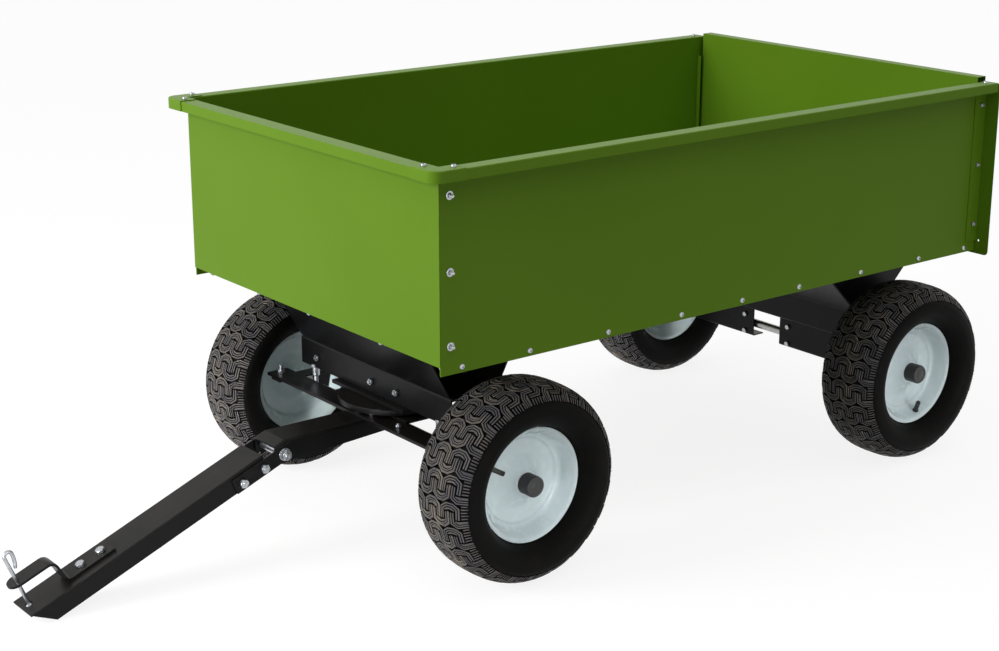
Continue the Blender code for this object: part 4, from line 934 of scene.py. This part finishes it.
def hitch_pin():
    """Round pin whose top is bent back into an open eye; its foot clears the ground."""
    station = 0.570
    radius = 0.0039
    loop = 0.0078
    crown = 0.1477 - 0.004 - loop
    ground = (PIVOT_Z - (station + radius) * math.sin(SLOPE)) / math.cos(SLOPE)
    foot = -ground + 0.0006
    path = [(station, foot), (station, foot + 0.0012), (station, crown - 0.034),
            (station + 0.0002, crown - 0.022), (station + 0.0002, crown - 0.006)]
    for step in range(19):
        angle = math.pi * step / 18
        path.append((station - loop + loop * math.cos(angle), crown + loop * math.sin(angle)))
    for step in range(1, 9):
        share = step / 8
        path.append((station - 2 * loop + 0.0064 * share * share, crown - 0.0300 * share))
    mesh = bmesh.new()
    rings = []
    segments = 28
    for index, (s, h) in enumerate(path):
        before = Vector(path[max(index - 1, 0)])
        after = Vector(path[min(index + 1, len(path) - 1)])
        run = (after - before).normalized()
        square = Vector((run.y, -run.x))
        girth = radius
        if index == 0 or index == len(path) - 1:
            girth = radius * 0.72
        ring = []
        for step in range(segments):
            angle = 2 * math.pi * step / segments
            offset = square * girth * math.cos(angle)
            ring.append(mesh.verts.new((s + offset.x, girth * math.sin(angle), h + offset.y)))
        rings.append(ring)
    for ring, following in zip(rings, rings[1:]):
        join_rings(mesh, ring, following)
    mesh.faces.new(rings[0])
    mesh.faces.new(rings[-1])
    mesh.transform(DRAWBAR)
    finish_piece("hitch_pin_form", mesh, "zinc", "hitch_pin", None, ("hitch_pin",))


# Small fasteners

SIDE_SCREWS_X = 0.190
SIDE_SCREWS = (0.801, 0.659, 0.519)
BOTTOM_ROW = (0.164, 0.004, -0.192, -0.387, -0.558, -0.727, -0.920, -1.111, -1.268)
FRONT_ROW = (-0.388, -0.195, -0.003, 0.249, 0.444)
POST_NUTS_X = -1.291
POST_NUTS = (0.802, 0.666, 0.529)
BOLSTER_FACE = 0.0590
BOLSTER_NUTS = 0.306
BAR_X = 0.0870
BAR_TOP = 0.2498
BAR_BOTTOM = 0.2382
CARRIER_FACE = 0.3003


def tray_fasteners():
    mesh = bmesh.new()
    for side in (1, -1):
        wall = side * TRAY_HALF_WIDTH
        for z in SIDE_SCREWS:
            flange_nut(mesh, (SIDE_SCREWS_X, wall, z), (0, side, 0), proud=0.0050)
        for x in BOTTOM_ROW:
            socket_head(mesh, (x, wall, 0.4755), (0, side, 0), radius=0.0058, height=0.0030)
        leg = side * (TRAY_HALF_WIDTH + 0.0018)
        for z in POST_NUTS:
            hex_nut(mesh, (POST_NUTS_X, leg, z), (0, side, 0), flats=0.0100, stud=0.0030, height=0.0050,
                    proud=0.0035)
        for x, y, z in ((0.2315, 0.4300, TRAY_TOP + CAP_LIFT), (0.1930, 0.4680, TRAY_TOP + CAP_LIFT),
                        (-1.2800, 0.4680, TRAY_TOP)):
            socket_head(mesh, (x, side * y, z), (0, 0, 1), radius=0.0050, height=0.0042, dome=False)
        inside = side * (TRAY_HALF_WIDTH - 0.0033)
        for z in SIDE_SCREWS:
            socket_head(mesh, (SIDE_SCREWS_X, inside, z), (0, -side, 0), radius=0.0055, height=0.0030)
    for y in FRONT_ROW:
        hex_nut(mesh, (0.2060, y, 0.4820), (0, 0, -1), flats=0.0090, stud=0.0028, height=0.0042,
                proud=0.0018)
    finish_piece("tray_fasteners", mesh, "zinc", "tray", TRAILER, sharp=32)


def bolster_fasteners():
    mesh = bmesh.new()
    for y in (-0.207, -0.002, 0.088):
        hex_nut(mesh, (BOLSTER_FACE, y, BOLSTER_NUTS), (1, 0, 0))
        hex_nut(mesh, (-BOLSTER_FACE, y, BOLSTER_NUTS), (-1, 0, 0), proud=0.0)
    for x in (0.0530, -0.0530):
        for y in (-0.170, 0.170):
            hex_nut(mesh, (x, y, 0.3460), (0, 0, 1), flats=0.0110, stud=0.0035, height=0.0055)
    for y in (-0.227, 0.227):
        hex_head(mesh, (0.0525, y, 0.2860), (0, 0, -1), flats=0.0170, height=0.0060)
        turned(mesh, [(0.0, 0.0074), (0.0003, 0.0079), (0.0187, 0.0079), (0.0190, 0.0074)], 32,
               along((0.0525, y, 0.2798), (0, 0, -1)))
        turned(mesh, thread_rings(0.0, 0.018, 0.0048, 0.0015), 24, along((0.0525, y, 0.2612), (0, 0, -1)))
    finish_piece("bolster_fasteners", mesh, "zinc", "tray", TRAILER, sharp=32)


def cross_bar_fasteners():
    mesh = bmesh.new()
    for y in (-0.316, 0.316):
        hex_nut(mesh, (BAR_X, y, BAR_TOP), (0, 0, 1), proud=0.0100, washer=0.0085)
        hex_head(mesh, (BAR_X, y, BAR_BOTTOM), (0, 0, -1))
    for y in (0.038, 0.132):
        hex_nut(mesh, (BAR_X, y, BAR_TOP), (0, 0, 1), flats=0.0110, stud=0.0034, height=0.0055,
                proud=0.0020)
    hex_nut(mesh, (BAR_X, -0.0120, BAR_TOP), (0, 0, 1), flats=0.0180, stud=0.0058, height=0.0090,
            washer=0.0120)
    finish_piece("cross_bar_fasteners", mesh, "zinc", "steering_frame", TRAILER, sharp=32)


def rear_fasteners():
    mesh = bmesh.new()
    for side in (1, -1):
        for x, z in ((-0.012, 0.226), (0.012, 0.184)):
            hex_nut(mesh, (REAR_X + x, side * CARRIER_FACE, z + 0.006), (0, side, 0), flats=0.0110,
                    stud=0.0034, height=0.0055, proud=0.0025)
        for z in (0.226, 0.184):
            hex_head(mesh, (REAR_X + 0.0180, side * 0.0720, z), (1, 0, 0), flats=0.0110, height=0.0050)
    finish_piece("rear_fasteners", mesh, "zinc", "tray", TRAILER, sharp=32)


# Floor, light and camera

def backdrop_rays(tree):
    """One for camera, glossy and transmission rays, nought for the others."""
    path = tree.nodes.new("ShaderNodeLightPath")
    value = path.outputs["Is Camera Ray"]
    for name in ("Is Glossy Ray", "Is Transmission Ray"):
        larger = tree.nodes.new("ShaderNodeMath")
        larger.operation = "MAXIMUM"
        tree.links.new(value, larger.inputs[0])
        tree.links.new(path.outputs[name], larger.inputs[1])
        value = larger.outputs[0]
    return value


def grey(level):
    return (level, level, level, 1)


def studio():
    """Pale floor: it glows for rays that see it, and only reflects light for the others."""
    half = 30.0
    corners = [(-half, -half, 0), (half, -half, 0), (half, half, 0), (-half, half, 0)]
    data = bpy.data.meshes.new("studio_floor")
    data.from_pydata(corners, [], [(0, 1, 2, 3)])
    floor = bpy.data.objects.new("studio_floor", data)
    floor.location.z = -0.0005
    bpy.context.scene.collection.objects.link(floor)
    material = bpy.data.materials.new("studio_white")
    material.use_nodes = True
    tree = material.node_tree
    tree.nodes.remove(tree.nodes["Principled BSDF"])
    output = tree.nodes["Material Output"]
    seen = tree.nodes.new("ShaderNodeBsdfDiffuse")
    seen.inputs["Color"].default_value = grey(0.22)
    glow = tree.nodes.new("ShaderNodeEmission")
    glow.inputs["Strength"].default_value = 0.86
    lit = tree.nodes.new("ShaderNodeAddShader")
    tree.links.new(seen.outputs[0], lit.inputs[0])
    tree.links.new(glow.outputs[0], lit.inputs[1])
    dim = tree.nodes.new("ShaderNodeBsdfDiffuse")
    dim.inputs["Color"].default_value = grey(0.30)
    choose = tree.nodes.new("ShaderNodeMixShader")
    tree.links.new(backdrop_rays(tree), choose.inputs[0])
    tree.links.new(dim.outputs[0], choose.inputs[1])
    tree.links.new(lit.outputs[0], choose.inputs[2])
    tree.links.new(choose.outputs[0], output.inputs["Surface"])
    data.materials.append(material)


def world():
    """White where rays see it; for the others a sky that brightens upwards."""
    setting = bpy.data.worlds.new("studio")
    bpy.context.scene.world = setting
    setting.use_nodes = True
    tree = setting.node_tree
    background = tree.nodes["Background"]
    coordinates = tree.nodes.new("ShaderNodeTexCoord")
    split = tree.nodes.new("ShaderNodeSeparateXYZ")
    tree.links.new(coordinates.outputs["Generated"], split.inputs[0])
    ramp = tree.nodes.new("ShaderNodeValToRGB")
    band = ramp.color_ramp
    band.elements[0].color = grey(0.03)
    band.elements[1].color = grey(0.95)
    band.elements.new(0.40).color = grey(0.10)
    tree.links.new(split.outputs["Z"], ramp.inputs["Fac"])
    mix = tree.nodes.new("ShaderNodeMix")
    mix.data_type = "RGBA"
    mix.inputs[MIX_SECOND].default_value = grey(1)
    tree.links.new(backdrop_rays(tree), mix.inputs[MIX_FACTOR])
    tree.links.new(ramp.outputs["Color"], mix.inputs[MIX_FIRST])
    tree.links.new(mix.outputs[MIX_RESULT], background.inputs["Color"])


def area_light(name, place, target, size, power, spread=180):
    """Rectangular light aimed at a target; power in watts, spread in degrees."""
    light = bpy.data.lights.new(name, "AREA")
    light.shape = "RECTANGLE"
    light.size, light.size_y = size
    light.energy = power
    light.spread = math.radians(spread)
    lamp = bpy.data.objects.new(name, light)
    lamp.location = place
    lamp.rotation_euler = (Vector(target) - Vector(place)).to_track_quat("-Z", "Y").to_euler()
    bpy.context.scene.collection.objects.link(lamp)


def lights():
    area_light("key", (3.55, -0.75, 1.75), (0.3, 0.0, 0.5), (1.4, 1.4), 90)
    area_light("side_fill", (-0.3, 3.4, 0.30), (-0.3, 0.4, 0.12), (2.6, 0.35), 2.3, 90)
    area_light("wheel_fill", (-0.3, 3.4, 0.16), (-0.3, 0.4, 0.15), (2.8, 0.20), 0.85, 10)
    area_light("front_fill", (3.1, 0.9, 0.16), (0.5, -0.2, 0.05), (1.2, 0.16), 1.6, 14)


def camera():
    """The photo's camera, as fitted to the tyres, the tray and the hitch."""
    place = Vector((2.1415 + KINGPIN_X, 3.0902, 1.5485))
    yaw = math.radians(231.968)
    pitch = math.radians(-16.819)
    roll = math.radians(0.062)
    forward = Vector((math.cos(yaw) * math.cos(pitch), math.sin(yaw) * math.cos(pitch),
                      math.sin(pitch)))
    level = Vector((math.sin(yaw), -math.cos(yaw), 0))
    upward = level.cross(forward)
    right = level * math.cos(roll) + upward * math.sin(roll)
    up = upward * math.cos(roll) - level * math.sin(roll)
    data = bpy.data.cameras.new("photo_view")
    data.lens = 68.054
    data.sensor_width = 36.0
    data.shift_y = 0.0015
    data.clip_end = 200.0
    view = bpy.data.objects.new("photo_view", data)
    rotation = Matrix((right, up, -forward)).transposed()
    view.matrix_world = Matrix.Translation(place) @ rotation.to_4x4()
    bpy.context.scene.collection.objects.link(view)
    bpy.context.scene.camera = view


frame_pieces()
wheels()
axles()
frame_bolts()
hitch_pin()
tray_fasteners()
bolster_fasteners()
cross_bar_fasteners()
rear_fasteners()
studio()
world()
lights()
camera()
bpy.context.scene.view_settings.view_transform = "Standard"
